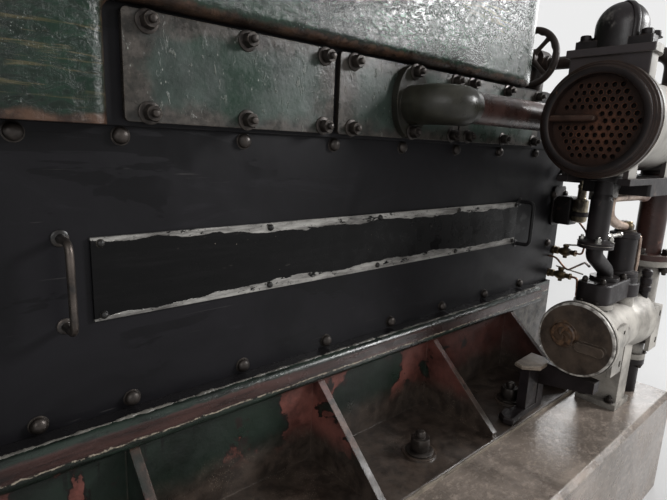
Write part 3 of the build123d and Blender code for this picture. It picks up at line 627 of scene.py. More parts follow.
def bed_paint(colours):
    """Old green peeled to red oxide on the walls, dirt on the foot, and tan on the ribs' upward-sloping edges that is
    partly wear and partly painted highlight. The rail has colours of its own."""
    f = Finish("bed_green")
    height, across, up = f.axis("Z"), f.axis("X"), f.facing("Z")
    on_rail = f.ramp(height, *RAIL_FOOT)
    f.base = f.mottle(*shades(colours.bed, 0.32, 1.0), 0.3, 0.7, 6, 5, 0.6)
    f.coat((0.05, 0.05, 0.045), f.blot(0.62, 0.65, 1.0, 4, 0.5, (95, 95, 5)), f.ramp(height, 0.5, 0.56))
    thin = f.calc("MULTIPLY_ADD", f.ramp(across, -0.12, 0.22), 0.13, f.noise(4.4, 8, 0.6, warp=0.5))
    peel = f.ramp(thin, 0.515, 0.53)
    red = f.mottle(*shades(colours.oxide, 0.32, 1.0), 0.33, 0.67, 14, 7, 0.7)
    f.coat(f.mix(f.ramp(across, 0.0, 0.3, 0.0, 0.65), red, (0.19, 0.105, 0.09)), peel)
    f.coat((0.09, 0.07, 0.06), f.ramp(thin, 0.505, 0.517), f.ramp(thin, 0.534, 0.522))
    f.coat((0.14, 0.12, 0.11), f.blot(0.6, 0.63, 8.1, 8, 0.66, warp=0.4))
    # tan on faces that slope upward, above the foot: partly wear, partly painted highlight where light falls on them
    slope = f.times(f.ramp(up, 0.2, 0.45), f.ramp(up, 0.93, 0.85), f.ramp(height, 0.373, 0.385))
    f.coat(f.mottle((0.13, 0.09, 0.075), (0.34, 0.25, 0.21), 0.35, 0.65, 35, 6, 0.7),
           slope, f.blot(0.35, 0.55, 12, 4))
    f.coat(f.mottle((0.1, 0.095, 0.09), (0.3, 0.28, 0.26), 0.35, 0.65, 30, 6, 0.7),
           f.ramp(f.ragged(across, 0.1, 9, 5), 0.62, 0.7))
    low = f.ramp(f.ragged(height, -0.07, 8, 6, 0.7), 0.44, 0.37)
    f.coat(f.mottle(*shades(colours.dirt, 0.4, 1.0), 0.35, 0.65, 26, 6, 0.7), low)
    f.coat(rail_colour(f, height, up), on_rail)
    f.coat((0.38, 0.31, 0.26), f.edges(0.005), f.blot(0.36, 0.6, 22, 5), f.ramp(height, 0.6, 0.56),
           f.math("SUBTRACT", 1.0, f.corners(0.012, 0.45, 0.8)))
    f.coat((0.55, 0.5, 0.44), f.ramp(f.cells(260), 0.22, 0.1), f.blot(0.5, 0.62, 13, 2), low)
    f.bump(f.noise(38, 7, 0.7), 0.5, 0.0022, 0.004)
    f.bump(peel, -0.6, 0.001)
    wet = f.ramp(f.noise(12, 5, 0.65), 0.35, 0.65, 0.16, 0.34)
    f.done(f.mix(on_rail, f.sheen(0.26, 0.58, 9, 5, 0.7), wet))


def rail_colour(f, height, up):
    """The rail from bottom to top: green, a chipped pale line, red-brown, green, and black on its level top."""
    level = f.ragged(height, 0.016, 1.0, 7, 0.75, (26, 60, 60), 0.5)
    green = f.mottle((0.06, 0.075, 0.065), (0.13, 0.17, 0.145), 0.4, 0.6, 1.0, 6, 0.7, (9, 60, 60))
    brown = f.mottle((0.1, 0.062, 0.058), (0.27, 0.175, 0.158), 0.36, 0.66, 1.0, 6, 0.65, (3, 40, 40))
    pale = f.mottle((0.1, 0.1, 0.09), (0.6, 0.56, 0.5), 0.42, 0.56, 60, 6, 0.75)
    rail = green
    for band, shade in zip(RAIL_BANDS, (pale, brown, green)):
        rail = f.mix(f.ramp(level, *band), rail, shade)
    black = f.mix(f.noise(5, 5), (0.06, 0.057, 0.062), (0.13, 0.125, 0.13))
    out = f.calc("ABSOLUTE", f.axis("Y"))
    return f.mix(f.times(f.ramp(up, 0.8, 0.9), f.ramp(out, *RAIL_TOP_HALF)), rail, black)


def plinth_paint(paint):
    """Glossy floor paint over rough concrete, scuffed through in patches, with scratches along its length
    and dark oil stains."""
    f = Finish("plinth_paint")
    dark, mid, light = shades(paint, 0.5, 1.0, 1.8)
    f.base = f.mottle(dark, mid, 0.32, 0.68, 3.2, 6, 0.62)
    f.coat(light, f.blot(0.5, 0.6, 1.0, 8, 0.75, (55, 90, 90), 0.5), 0.45)
    f.coat(light, f.blot(0.54, 0.72, 1.0, 6, 0.7, (3, 14, 14)), 0.6)
    f.coat((0.16, 0.135, 0.12), f.blot(0.56, 0.7, 2.1, 5, 0.6, warp=1.0), 0.6)
    chip = f.blot(0.62, 0.65, 13, 8, 0.7)
    f.coat((0.5, 0.46, 0.42), chip, 0.8)
    f.coat((0.58, 0.55, 0.5), f.blot(0.68, 0.73, 1.0, 4, 0.6, (4, 120, 120), 0.4), 0.5)
    f.coat((0.6, 0.56, 0.51), f.edges(0.008), f.blot(0.4, 0.58, 18, 5))
    f.bump(f.noise(30, 8, 0.7), 0.5, 0.003, 0.006)
    f.bump(chip, -0.6, 0.001)
    f.done(f.sheen(0.12, 0.38, 4.5, 6, 0.7))


def cast_paint(name, paint, worn, spread=(0.5, 1.2), rough=(0.35, 0.6), grain=60, metal=0.0,
               wear=(0.4, 0.6), corner_shade_and_dirt=None, specular=0.35):
    """Painted casting: cloudy colour, grainy skin, worn edges and painted shade where faces meet."""
    f = Finish(name)
    f.base = f.mottle(*shades(paint, *spread), 0.32, 0.68, 11, 6, 0.65)
    f.coat(worn, f.blot(0.63, 0.67, 17, 8, 0.68, warp=0.3), 0.7)
    f.coat(worn, f.edges(), f.blot(*wear, 45, 4))
    # painted shade: the corner colour is laid where faces meet, found by ambient occlusion
    if corner_shade_and_dirt:
        f.coat(corner_shade_and_dirt, f.corners(0.045, 0.35, 0.95), f.blot(0.2, 0.6, 16, 5))
    f.bump(f.noise(grain, 6, 0.7), 0.4, 0.0013, 0.003)
    f.done(f.sheen(*rough, 19, 5, 0.7), metal, specular)


def pump_face_paint():
    """The pump cover: brown dirt over grey iron, rust round its boss and a bright silver margin, told by
    the distance from the cover's axis."""
    f = Finish("pump_face")
    flat = f.flat("pump_cover")
    f.base = f.mottle((0.17, 0.14, 0.12), (0.34, 0.29, 0.25), 0.32, 0.68, 14, 6, 0.65)
    boss = f.ragged(f.vector("DISTANCE", flat, (*PUMP_BOSS, 0)), 0.03, 45, 5)
    f.coat(f.mottle((0.2, 0.14, 0.105), (0.42, 0.32, 0.24), 0.35, 0.65, 70, 6, 0.7), f.ramp(boss, 0.058, 0.046))
    f.coat((0.6, 0.55, 0.5), f.edges(), f.blot(0.35, 0.6, 45, 4))
    f.coat(f.mottle((0.42, 0.4, 0.38), (0.78, 0.76, 0.73), 0.35, 0.65, 60, 5),
           f.ramp(f.vector("LENGTH", flat), 0.0955, 0.0965))
    f.bump(f.noise(70, 6, 0.7), 0.4, 0.0012, 0.003)
    f.done(f.sheen(0.32, 0.55, 19, 5, 0.7), 0.1)


def dome_paint(paint):
    """The top elbow: black, turned pale grey on the dome's top partly by rubbing and partly by painted highlight."""
    f = Finish("dome_black")
    f.base = f.mottle(*shades(paint, 0.5, 1.3), 0.32, 0.68, 16, 6, 0.62)
    # pale grey on the dome's top: partly rubbed paint, partly painted highlight where light falls from above
    f.coat(f.mix(f.noise(70, 5, 0.7), (0.3, 0.28, 0.27), (0.62, 0.6, 0.58)),
           f.blot(0.46, 0.62, 13, 6, 0.7), f.ramp(f.axis("Z"), 1.385, 1.4), 0.7)
    f.coat((0.36, 0.31, 0.28), f.edges(), f.blot(0.4, 0.6, 45, 4))
    f.bump(f.noise(50, 6, 0.7), 0.4, 0.0013, 0.003)
    f.done(f.sheen(0.28, 0.5, 19, 5, 0.7), specular=0.4)


def tube_plate_paint(paint):
    """Rusted plate: orange-brown in the middle and where the partition ends, almost black towards the top
    and the rim, with painted shade in its hollows and corners."""
    f = Finish("tube_plate_rust")
    dark, mid, light = shades(paint, 0.12, 0.35, 1.3)
    spot = f.ragged(f.vector("DISTANCE", f.flat("tube_plate"), (-0.012, -0.018, 0)), 0.09, 22, 6, 0.7)
    warm = f.mottle(mid, light, 0.32, 0.68, 55, 7, 0.7)
    f.base = f.mix(f.ramp(spot, 0.125, 0.06), f.mix(f.noise(30, 6), dark, mid), warm)
    f.coat((0.34, 0.23, 0.165), f.edges(0.0022), f.blot(0.3, 0.55, 80, 4), 0.6)
    # painted shade: almost black in the tube ends and corners, found by ambient occlusion
    f.coat((0.06, 0.03, 0.025), f.corners(0.012, 0.2, 0.75))
    f.bump(f.noise(120, 7, 0.75), 0.6, 0.0014, 0.002)
    f.done(f.sheen(0.5, 0.78, 40, 5), specular=0.3)


def cooler_paint(paint):
    """Chalky light grey on the shell, with painted shade that makes the faces looking towards the flywheel almost
    black, and painted shade in corners.
    """
    f = Finish("cooler_grey")
    f.base = f.mottle(*shades(paint, 0.62, 1.12), 0.3, 0.7, 8, 6, 0.65)
    f.coat((0.36, 0.33, 0.3), f.blot(0.52, 0.7, 1.0, 5, 0.7, (22, 22, 3)), 0.45)
    # painted shade: faces that look towards the flywheel are laid almost black
    f.coat(f.mix(f.noise(14, 5), (0.17, 0.15, 0.155), (0.27, 0.24, 0.245)), f.ramp(f.facing("X"), -0.55, -0.85))
    f.coat((0.33, 0.28, 0.25), f.edges(0.005), f.blot(0.42, 0.62, 30, 5))
    # painted shade: darker brown in corners, found by ambient occlusion
    f.coat((0.22, 0.18, 0.16), f.corners(0.06, 0.3, 0.9), f.blot(0.25, 0.65, 16, 5))
    f.bump(f.noise(70, 6, 0.7), 0.4, 0.0012, 0.003)
    f.done(f.sheen(0.42, 0.65, 12, 5))


def nameplate_finish(strip):
    """Bright cast strips along the top and bottom edges. Their width swells and shrinks along the plate,
    thin at its left end, and black paint laps over their inner border in waves."""
    f = Finish("name_silver")
    low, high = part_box("nameplate")
    border = (high.z - low.z) / 2 - strip
    away = f.calc("ABSOLUTE", f.calc("SUBTRACT", f.axis("Z"), (low.z + high.z) / 2))
    lap = f.ragged(-0.0165, 0.03, 1.0, 2, 0.5, (11, 11, 14), 0.3)
    lap = f.ragged(lap, 0.006, 1.0, 6, 0.75, (70, 70, 90), 0.4)
    thin = f.ramp(f.axis("X"), low.x + 0.03, low.x + 0.36, -0.0135, 0.0)
    silver = f.ramp(f.calc("ADD", f.calc("ADD", away, lap), thin), border - 0.0006, border + 0.0006)
    silver = f.math("SUBTRACT", silver, f.blot(0.6, 0.63, 1.0, 7, 0.7, (20, 20, 60)))
    bright = f.mottle((0.36, 0.35, 0.34), (0.72, 0.71, 0.69), 0.3, 0.7, 1.0, 6, 0.7, (9, 9, 60))
    bright = f.mix(f.times(f.blot(0.6, 0.66, 130, 5, 0.7), 0.8), bright, (0.1, 0.1, 0.1))
    f.base = f.mottle((0.02, 0.019, 0.021), (0.065, 0.06, 0.064), 0.45, 0.75, 1.0, 6, 0.7, (5, 5, 60), 0.3)
    f.coat((0.4, 0.38, 0.36), f.blot(0.66, 0.71, 1.0, 6, 0.7, (9, 9, 30), 0.8), 0.25)
    f.coat((0.5, 0.46, 0.42), f.ramp(f.cells(90), 0.1, 0.05), f.blot(0.58, 0.64, 14, 2))
    f.coat(bright, silver)
    f.bump(f.noise(55, 6, 0.7), 0.35, 0.0008, 0.0015)
    f.bump(silver, 0.8, 0.0012)
    rough = f.mix(silver, f.sheen(0.22, 0.36, 30, 5), f.sheen(0.28, 0.46, 50, 5))
    f.done(rough, f.times(silver, 0.6), specular=0.15)


def bare_metal(name, metal, rough=(0.25, 0.5), film=(0.2, 0.13, 0.1), share=(0.5, 0.66)):
    """Handled or machined metal: bright where rubbed, under a patchy brown film."""
    f = Finish(name)
    f.base = f.mottle(*shades(metal, 0.6, 1.2), 0.3, 0.7, 30, 6, 0.7)
    brown = f.blot(*share, 14, 6, 0.65, warp=0.3)
    f.coat(film, brown)
    f.bump(f.noise(160, 4, 0.6), 0.25, 0.0005, 0.0015)
    f.done(f.sheen(*rough, 22, 5), f.ramp(brown, 0, 1, 0.85, 0.15))


def fastener_iron(paint):
    """Dark iron: lighter on the crowns of the heads, with painted shade where they meet the plate."""
    f = Finish("fastener_iron")
    f.base = f.mottle(*shades(paint, 0.4, 1.1), 0.3, 0.7, 60, 5, 0.65)
    f.coat((0.5, 0.46, 0.41), f.edges(0.0016, 0.03, 0.4), f.blot(0.35, 0.6, 120, 4))
    # painted shade where the fastener meets the plate, found by ambient occlusion
    f.coat((0.13, 0.11, 0.1), f.corners(0.014, 0.3, 0.9))
    f.bump(f.noise(210, 5, 0.7), 0.35, 0.0005, 0.001)
    f.done(f.sheen(0.32, 0.55, 50, 5), 0.55)


# Castings, by what cast_paint asks for. A paint that is a name is one of the panel's colours
# Each corner colour below is painted shade, laid where faces meet
CASTINGS = {
    "black_bar": dict(paint=(0.14, 0.135, 0.14), worn=(0.4, 0.37, 0.34), rough=(0.3, 0.5)),
    "pipe_brown": dict(paint=(0.19, 0.185, 0.155), worn=(0.33, 0.28, 0.23), spread=(0.45, 1.2), rough=(0.26, 0.45),
                       grain=45, corner_shade_and_dirt=(0.08, 0.075, 0.065)),
    "pipe_red": dict(paint=(0.27, 0.185, 0.165), worn=(0.46, 0.34, 0.28), spread=(0.4, 1.2), rough=(0.2, 0.4),
                     corner_shade_and_dirt=(0.08, 0.06, 0.055), specular=0.6),
    "cooler_black": dict(paint="black", worn=(0.3, 0.24, 0.21), rough=(0.34, 0.58), corner_shade_and_dirt=(0.08, 0.06, 0.052),
                         specular=0.28),
    "tube_rust": dict(paint="rust", worn=(0.5, 0.31, 0.2), spread=(0.4, 1.3), rough=(0.55, 0.8), grain=80,
                      corner_shade_and_dirt=(0.14, 0.08, 0.06)),
    "column_brown": dict(paint="column", worn=(0.42, 0.3, 0.25), spread=(0.45, 1.25), rough=(0.26, 0.45), grain=70),
    "pump_silver": dict(paint="pump", worn=(0.28, 0.25, 0.23), spread=(0.5, 1.1), rough=(0.42, 0.62), grain=40,
                        metal=0.12, wear=(0.5, 0.64), corner_shade_and_dirt=(0.16, 0.13, 0.115), specular=0.3),
    "wheel_iron": dict(paint=(0.2, 0.16, 0.145), worn=(0.4, 0.33, 0.28), rough=(0.35, 0.55)),
    "flywheel_iron": dict(paint=(0.12, 0.185, 0.155), worn=(0.4, 0.36, 0.32), rough=(0.25, 0.45)),
    "screw_black": dict(paint=(0.12, 0.115, 0.11), worn=(0.45, 0.42, 0.38), rough=(0.3, 0.45)),
    "rail_bead": dict(paint=(0.34, 0.33, 0.31), worn=(0.8, 0.78, 0.74), spread=(0.35, 1.3), rough=(0.22, 0.4),
                      grain=190, wear=(0.3, 0.5)),
    "mortar": dict(paint=(0.5, 0.46, 0.41), worn=(0.7, 0.66, 0.6), rough=(0.6, 0.8), grain=150),
    "joint_line": dict(paint=(0.4, 0.37, 0.35), worn=(0.72, 0.68, 0.63), spread=(0.4, 1.3), rough=(0.3, 0.5),
                       grain=120, wear=(0.35, 0.55)),
    "relief_rust": dict(paint=(0.3, 0.23, 0.175), worn=(0.5, 0.4, 0.31), spread=(0.35, 1.3), rough=(0.42, 0.7),
                        grain=120, wear=(0.35, 0.6)),
    "ring_black": dict(paint=(0.115, 0.09, 0.088), worn=(0.33, 0.24, 0.185), spread=(0.5, 1.25), rough=(0.34, 0.58),
                       grain=50, wear=(0.3, 0.5), corner_shade_and_dirt=(0.16, 0.105, 0.08), specular=0.28),
    "partition": dict(paint=(0.22, 0.15, 0.12), worn=(0.48, 0.4, 0.34), spread=(0.4, 1.3), rough=(0.4, 0.6), grain=90),
    "stool_top": dict(paint=(0.5, 0.45, 0.4), worn=(0.74, 0.7, 0.64), grain=70, wear=(0.35, 0.6)),
}

# Metals: colour, roughness, colour of the film and where it starts and ends
METALS = {
    "worn_bar": ((0.36, 0.33, 0.31), (0.26, 0.45), (0.09, 0.08, 0.075), (0.45, 0.6)),
    "shaft_steel": ((0.6, 0.59, 0.57),),
    "brass": ((0.46, 0.4, 0.3), (0.3, 0.5), (0.15, 0.115, 0.085), (0.44, 0.6)),
    "oil_cup": ((0.62, 0.58, 0.5), (0.26, 0.45), (0.2, 0.165, 0.13), (0.5, 0.66)),
    "copper": ((0.6, 0.45, 0.37), (0.28, 0.48), (0.2, 0.13, 0.1), (0.48, 0.64)),
    "pink_pipe": ((0.74, 0.66, 0.6), (0.28, 0.48), (0.45, 0.33, 0.29), (0.5, 0.68)),
    "union_steel": ((0.56, 0.55, 0.54), (0.3, 0.5), (0.1, 0.1, 0.11), (0.42, 0.6)),
    "bright_steel": ((0.72, 0.71, 0.69), (0.25, 0.45), (0.25, 0.22, 0.2), (0.54, 0.7)),
}

OWN_FINISH = {"pump_cover": "pump_face", "top_elbow": "dome_black", "tube_plate": "tube_plate_rust",
              "water_pipe": "pipe_red"}


def make_finishes(colours):
    """Every paint and metal."""
    plinth_paint(colours.plinth)
    bed_paint(colours)
    casing_paint(colours.casing)
    door_paint(colours.door)
    plate_paint(colours.plate)
    nameplate_finish(sizes().name_strip)
    pump_face_paint()
    tube_plate_paint(colours.rust)
    cooler_paint(colours.cooler)
    fastener_iron(colours.bolts)
    dome_paint(colours.black)
    for name, values in CASTINGS.items():
        paint = values["paint"]
        cast_paint(name, **{**values, "paint": getattr(colours, paint) if isinstance(paint, str) else paint})
    for name, values in METALS.items():
        bare_metal(name, *values)


def paint_nodes():
    """Each CAD node takes its own finish, or else that of its slot in the record."""
    for part in frame["record"]["subparts"]:
        node = nodes[part["node"]]
        node.data.materials.clear()
        node.data.materials.append(finishes[OWN_FINISH.get(part["node"], part["material_slot"])])


# Stage

CAMERA_PLACE = (-0.9674, -1.2224, 1.1007)
CAMERA_RIGHT = (0.7484, -0.662, 0.0411)
CAMERA_UP = (0.1061, 0.1806, 0.9778)
CAMERA_BACK = (-0.6547, -0.7274, 0.2053)
CAMERA_LENS = 26.99
FLOOR_HALF, FLOOR_SHADE, FLOOR_FADE = 30.0, 0.5, (1.8, 6.0)
WORLD_LIGHT, BACKDROP = 0.4, 0.84
LAMPS = {  # place, target, width and power
    "key": ((3.4, -3.0, 2.8), (0, -0.3, 0.9), 1.3, 210),
    "fill": ((-3.2, -3.4, 2.8), (0, -0.4, 0.9), 2.8, 50),
    "far": ((-0.5, 4.4, 4.0), (0, 0, 1.0), 3.0, 120),
    "glint": ((4.4, 0.4, 2.1), (0.6, -0.6, 0.5), 1.7, 34),
}


def make_camera():
    data = bpy.data.cameras.new("photo_camera")
    data.lens = CAMERA_LENS
    data.sensor_width = 36
    data.clip_start = 0.02
    camera = bpy.data.objects.new("photo_camera", data)
    turn = Matrix((CAMERA_RIGHT, CAMERA_UP, CAMERA_BACK)).transposed().to_4x4()
    camera.matrix_world = Matrix.Translation(CAMERA_PLACE) @ turn
    bpy.context.scene.collection.objects.link(camera)
    bpy.context.scene.camera = camera


def make_lamp(name, place, target, width, power):
    data = bpy.data.lights.new(name, "AREA")
    data.shape = "DISK"
    data.size = width
    data.energy = power
    lamp = bpy.data.objects.new(name, data)
    lamp.location = place
    lamp.rotation_euler = (Vector(target) - Vector(place)).to_track_quat("-Z", "Y").to_euler()
    bpy.context.scene.collection.objects.link(lamp)


def make_world():
    """Plain grey light all round; the camera sees a pale backdrop."""
    world = bpy.data.worlds.new("studio")
    world.use_nodes = True
    tree = world.node_tree
    background = tree.nodes["Background"]
    path = tree.nodes.new("ShaderNodeLightPath")
    seen = tree.nodes.new("ShaderNodeMath")
    seen.operation = "MAXIMUM"
    level = tree.nodes.new("ShaderNodeMapRange")
    level.inputs["To Min"].default_value = WORLD_LIGHT
    level.inputs["To Max"].default_value = BACKDROP
    for start, end in ((path.outputs["Is Camera Ray"], seen.inputs[0]),
                       (path.outputs["Is Transmission Ray"], seen.inputs[1]),
                       (seen.outputs[0], level.inputs["Value"]),
                       (level.outputs["Result"], background.inputs["Strength"])):
        tree.links.new(start, end)
    background.inputs["Color"].default_value = (1, 1, 1, 1)
    bpy.context.scene.world = world


def make_floor():
    """Pale floor that keeps the shadow near the engine and fades into the backdrop's light further out."""
    mesh = bpy.data.meshes.new("floor")
    corners = np.array([(-1, -1, 0), (1, -1, 0), (1, 1, 0), (-1, 1, 0)], float) * FLOOR_HALF
    mesh.from_pydata(corners.tolist(), [], [(0, 1, 2, 3)])
    f = Finish("floor_grey")
    f.base = f.mottle([FLOOR_SHADE * 0.97] * 3, [FLOOR_SHADE] * 3, 0.3, 0.7, 2.0, 4)
    f.done(0.7)
    mesh.materials.append(f.material)
    path = f.node("ShaderNodeLightPath")
    seen = f.math("MAXIMUM", path.outputs["Is Camera Ray"], path.outputs["Is Glossy Ray"])
    seen = f.math("MAXIMUM", seen, path.outputs["Is Transmission Ray"])
    share = f.times(seen, f.ramp(f.vector("LENGTH", f.place), *FLOOR_FADE))
    glow = f.node("ShaderNodeEmission", {"Color": (1, 1, 1), "Strength": BACKDROP}).outputs[0]
    both = f.node("ShaderNodeMixShader", {0: share, 1: f.shader.outputs[0], 2: glow}).outputs[0]
    f.tree.links.new(both, f.tree.nodes["Material Output"].inputs["Surface"])
    floor = bpy.data.objects.new("floor", mesh)
    bpy.context.scene.collection.objects.link(floor)


class OBJECT_OT_engine_stage(bpy.types.Operator):
    """Camera at the photograph's viewpoint, pale floor, plain world and soft lamps"""
    bl_idname = "object.engine_stage"
    bl_label = "Stage"

    def execute(self, context):
        context.scene.view_settings.view_transform = "Standard"
        make_world()
        make_floor()
        make_camera()
        for name, values in LAMPS.items():
            make_lamp(name, *values)
        return {"FINISHED"}


class OBJECT_OT_engine_finishes(bpy.types.Operator):
    """Paints and metals on every CAD node"""
    bl_idname = "object.engine_finishes"
    bl_label = "Finishes"

    def execute(self, context):
        make_finishes(context.scene.oil_engine_colours)
        paint_nodes()
        return {"FINISHED"}


# Fasteners on the doors, covers, heads and foot

def door_bolt_places():
    """Bottom and top rows at one pitch with a closer first column, and two bolts on the right edge."""
    low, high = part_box("front_door")
    first, second = low.x + np.array(DOOR_COLUMNS)
    columns = [first, *(second + sizes().door_pitch * np.arange(7))]
    rows = [(x, low.y, z) for z in (low.z + DOOR_ROWS[0], high.z - DOOR_ROWS[1]) for x in columns]
    return np.array(rows + [(high.x - DOOR_EDGE, low.y, low.z + z) for z in DOOR_EDGE_BOLTS])


def cover_nut_places(name):
    """Two rows of three nuts: near the left edge, past the middle and near the right edge."""
    low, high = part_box(name)
    columns = low.x + np.array(COVER_COLUMNS) * (high.x - low.x)
    return np.array([(x, low.y, z) for z in (low.z + COVER_ROWS[0], high.z - COVER_ROWS[1]) for x in columns])


def head_nut_places(name):
    """Nuts on a head's corners and along both long sides, on its top outside the rocker cover."""
    low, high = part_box(name)
    xs = np.linspace(low.x + HEAD_END, high.x - HEAD_END, 3)
    ys = np.linspace(low.y + HEAD_SIDE, high.y - HEAD_SIDE, 3)
    sides = [(x, y, high.z) for x in xs for y in (low.y + HEAD_EDGE, high.y - HEAD_EDGE)]
    ends = [(x, y, high.z) for y in ys for x in (low.x + HEAD_EDGE, high.x - HEAD_EDGE)]
    return np.array(sides + ends)


class OBJECT_OT_engine_fasteners(bpy.types.Operator):
    """Door bolts, cover nuts, hold-down nuts and head nuts, on both sides"""
    bl_idname = "object.engine_fasteners"
    bl_label = "Fasteners"

    def execute(self, context):
        size = sizes()
        doors, bolt = door_bolt_places(), cup_bolt(size.door_bolt)
        fasten("front_door_bolts", "case_black", (bolt, doors, NEAR, 3, 0.05))
        fasten("rear_door_bolts", "case_black", (bolt, mirrored(doors), FAR, 4, 0.05))
        covers = np.concatenate([cover_nut_places(f"front_cover_{i}") for i in NUMBERS])
        nut, flange = stud_nut(size.cover_nut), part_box("water_elbow")
        shared = np.abs(covers[:, 0] - (flange[0].x + ELBOW_FLANGE / 2)) < 0.03
        front = np.where(shared[:, None], covers * (1, 0, 1) + (0, flange[1].y - FLANGE_THICK, 0), covers)
        fasten("front_cover_nuts", "plate_green", (nut, front, NEAR, 5, 0.04))
        fasten("rear_cover_nuts", "plate_green", (nut, mirrored(covers), FAR, 6, 0.04))
        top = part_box("plinth")[1].z + HOLD_DOWN_BOSS
        bosses = [(x, side * HOLD_DOWN_Y, top) for x in HOLD_DOWN_X for side in (-1, 1)]
        fasten("hold_down_nuts", "bed_green", (stud_nut(size.hold_down_nut), bosses, UP, 7, 0.03))
        heads = np.concatenate([head_nut_places(f"cylinder_head_{i}") for i in NUMBERS])
        fasten("head_nuts", "casing_green", (stud_nut(size.head_nut), heads, UP, 8, 0.02))
        return {"FINISHED"}


class OBJECT_OT_engine_trim(bpy.types.Operator):
    """Nameplate screws, door handles, the bead along the bedplate's rail and the mortar round its foot"""
    bl_idname = "object.engine_trim"
    bl_label = "Trim"

    def execute(self, context):
        low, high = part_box("nameplate")
        columns = [low.x + 0.015, low.x + 0.345, low.x + 0.671, low.x + 1.003, high.x - 0.014]
        screws = [(x, low.y, z) for z in (low.z + 0.0095, high.z - 0.0095) for x in columns]
        fasten("nameplate_screws", "name_silver", (cup_bolt(0.0062), screws, NEAR, 11, 0.06), finish="screw_black")
        for name in HANDLES:
            self.handle(name, sizes().handle_bar)
        self.beads()
        self.mortar()
        return {"FINISHED"}

    def handle(self, name, radius):
        """A bar handle in place of the CAD bar: a round bar bent twice, growing to a foot at each end
        as r (1 + 0.35 exp(-d / 4 mm)), where d is the height above the door, over a low collar."""
        collar = lathe([(0.0005, 0), (0.0135, 0), (0.0132, 0.0018), (0.0105, 0.0034), (0.0005, 0.0036)], 32)
        low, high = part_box(name)
        front = low.y < 0
        face, reach = (high.y, low.y + radius) if front else (low.y, high.y - radius)
        middle, top, foot = (low.x + high.x) / 2, high.z - HANDLE_FOOT, low.z + HANDLE_FOOT
        line = rounded_path([(middle, face, top), (middle, reach, top), (middle, reach, foot),
                             (middle, face, foot)], 0.02, 9)
        line = np.concatenate([along(*line[:2], 8)[:-1], line[1:-1], along(*line[-2:], 8)[1:]])
        grow = 1 + 0.35 * np.exp(-np.abs(line[:, 1] - face) / 0.004)
        bar = swept(line, round_section(radius, 22), up=(1, 0, 0), scale=grow)
        feet = copies(collar, [(middle, face, top), (middle, face, foot)], NEAR if front else FAR)
        finish = "worn_bar" if name == "front_handle_left" else "black_bar"
        add_piece(name + "_bar", joined(bar, feet), finish, stands_for=(name,))

    def beads(self):
        """A lumpy bead of sealing compound where each door meets the rail: a half-buried pipe along X
        whose radius and height wander by seeded steps smoothed along its length."""
        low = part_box("front_door")[0]
        y, z = low.y - 0.0325, low.z - 0.0022
        path = along((low.x + 0.004, y, z), (low.x + BEAD_LENGTH, y, z), 620)
        for name, side, seed in (("front_rail_bead", 1, 21), ("rear_rail_bead", -1, 22)):
            grow, out, rise = wandering(len(path), seed)
            line = path * (1, side, 1) + points_of(0.0, 0.0009 * out, 0.001 * rise)
            shape = swept(line, round_section(0.0042, 10), scale=1 + 0.3 * grow)
            add_piece(name, shape, "rail_bead", smooth=60)

    def mortar(self):
        """A thin sloped strip round the foot on the plinth: a flat section carried along each side, its
        width wandering by seeded steps."""
        low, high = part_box("bedplate")
        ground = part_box("plinth")[1].z
        section = np.array([(0, -0.002), (0.012, -0.002), (0.0105, 0.0008), (0.0, 0.0085), (-0.004, 0.0085),
                            (-0.004, -0.002)])
        corners = np.array([(FOOT_LEFT, low.y), (FOOT_RIGHT, low.y), (FOOT_RIGHT, high.y), (FOOT_LEFT, high.y)])
        strips = []
        for i in range(4):
            start, end = corners[i], corners[(i + 1) % 4]
            count = 40 + int(np.linalg.norm(end - start) / 0.006)
            line = along((*start, ground), (*end, ground), count)
            strips.append(swept(line, section, scale=1 + 0.18 * wandering(count, 30 + i)[0]))
        add_piece("foot_mortar", joined(*strips), "mortar", smooth=50)


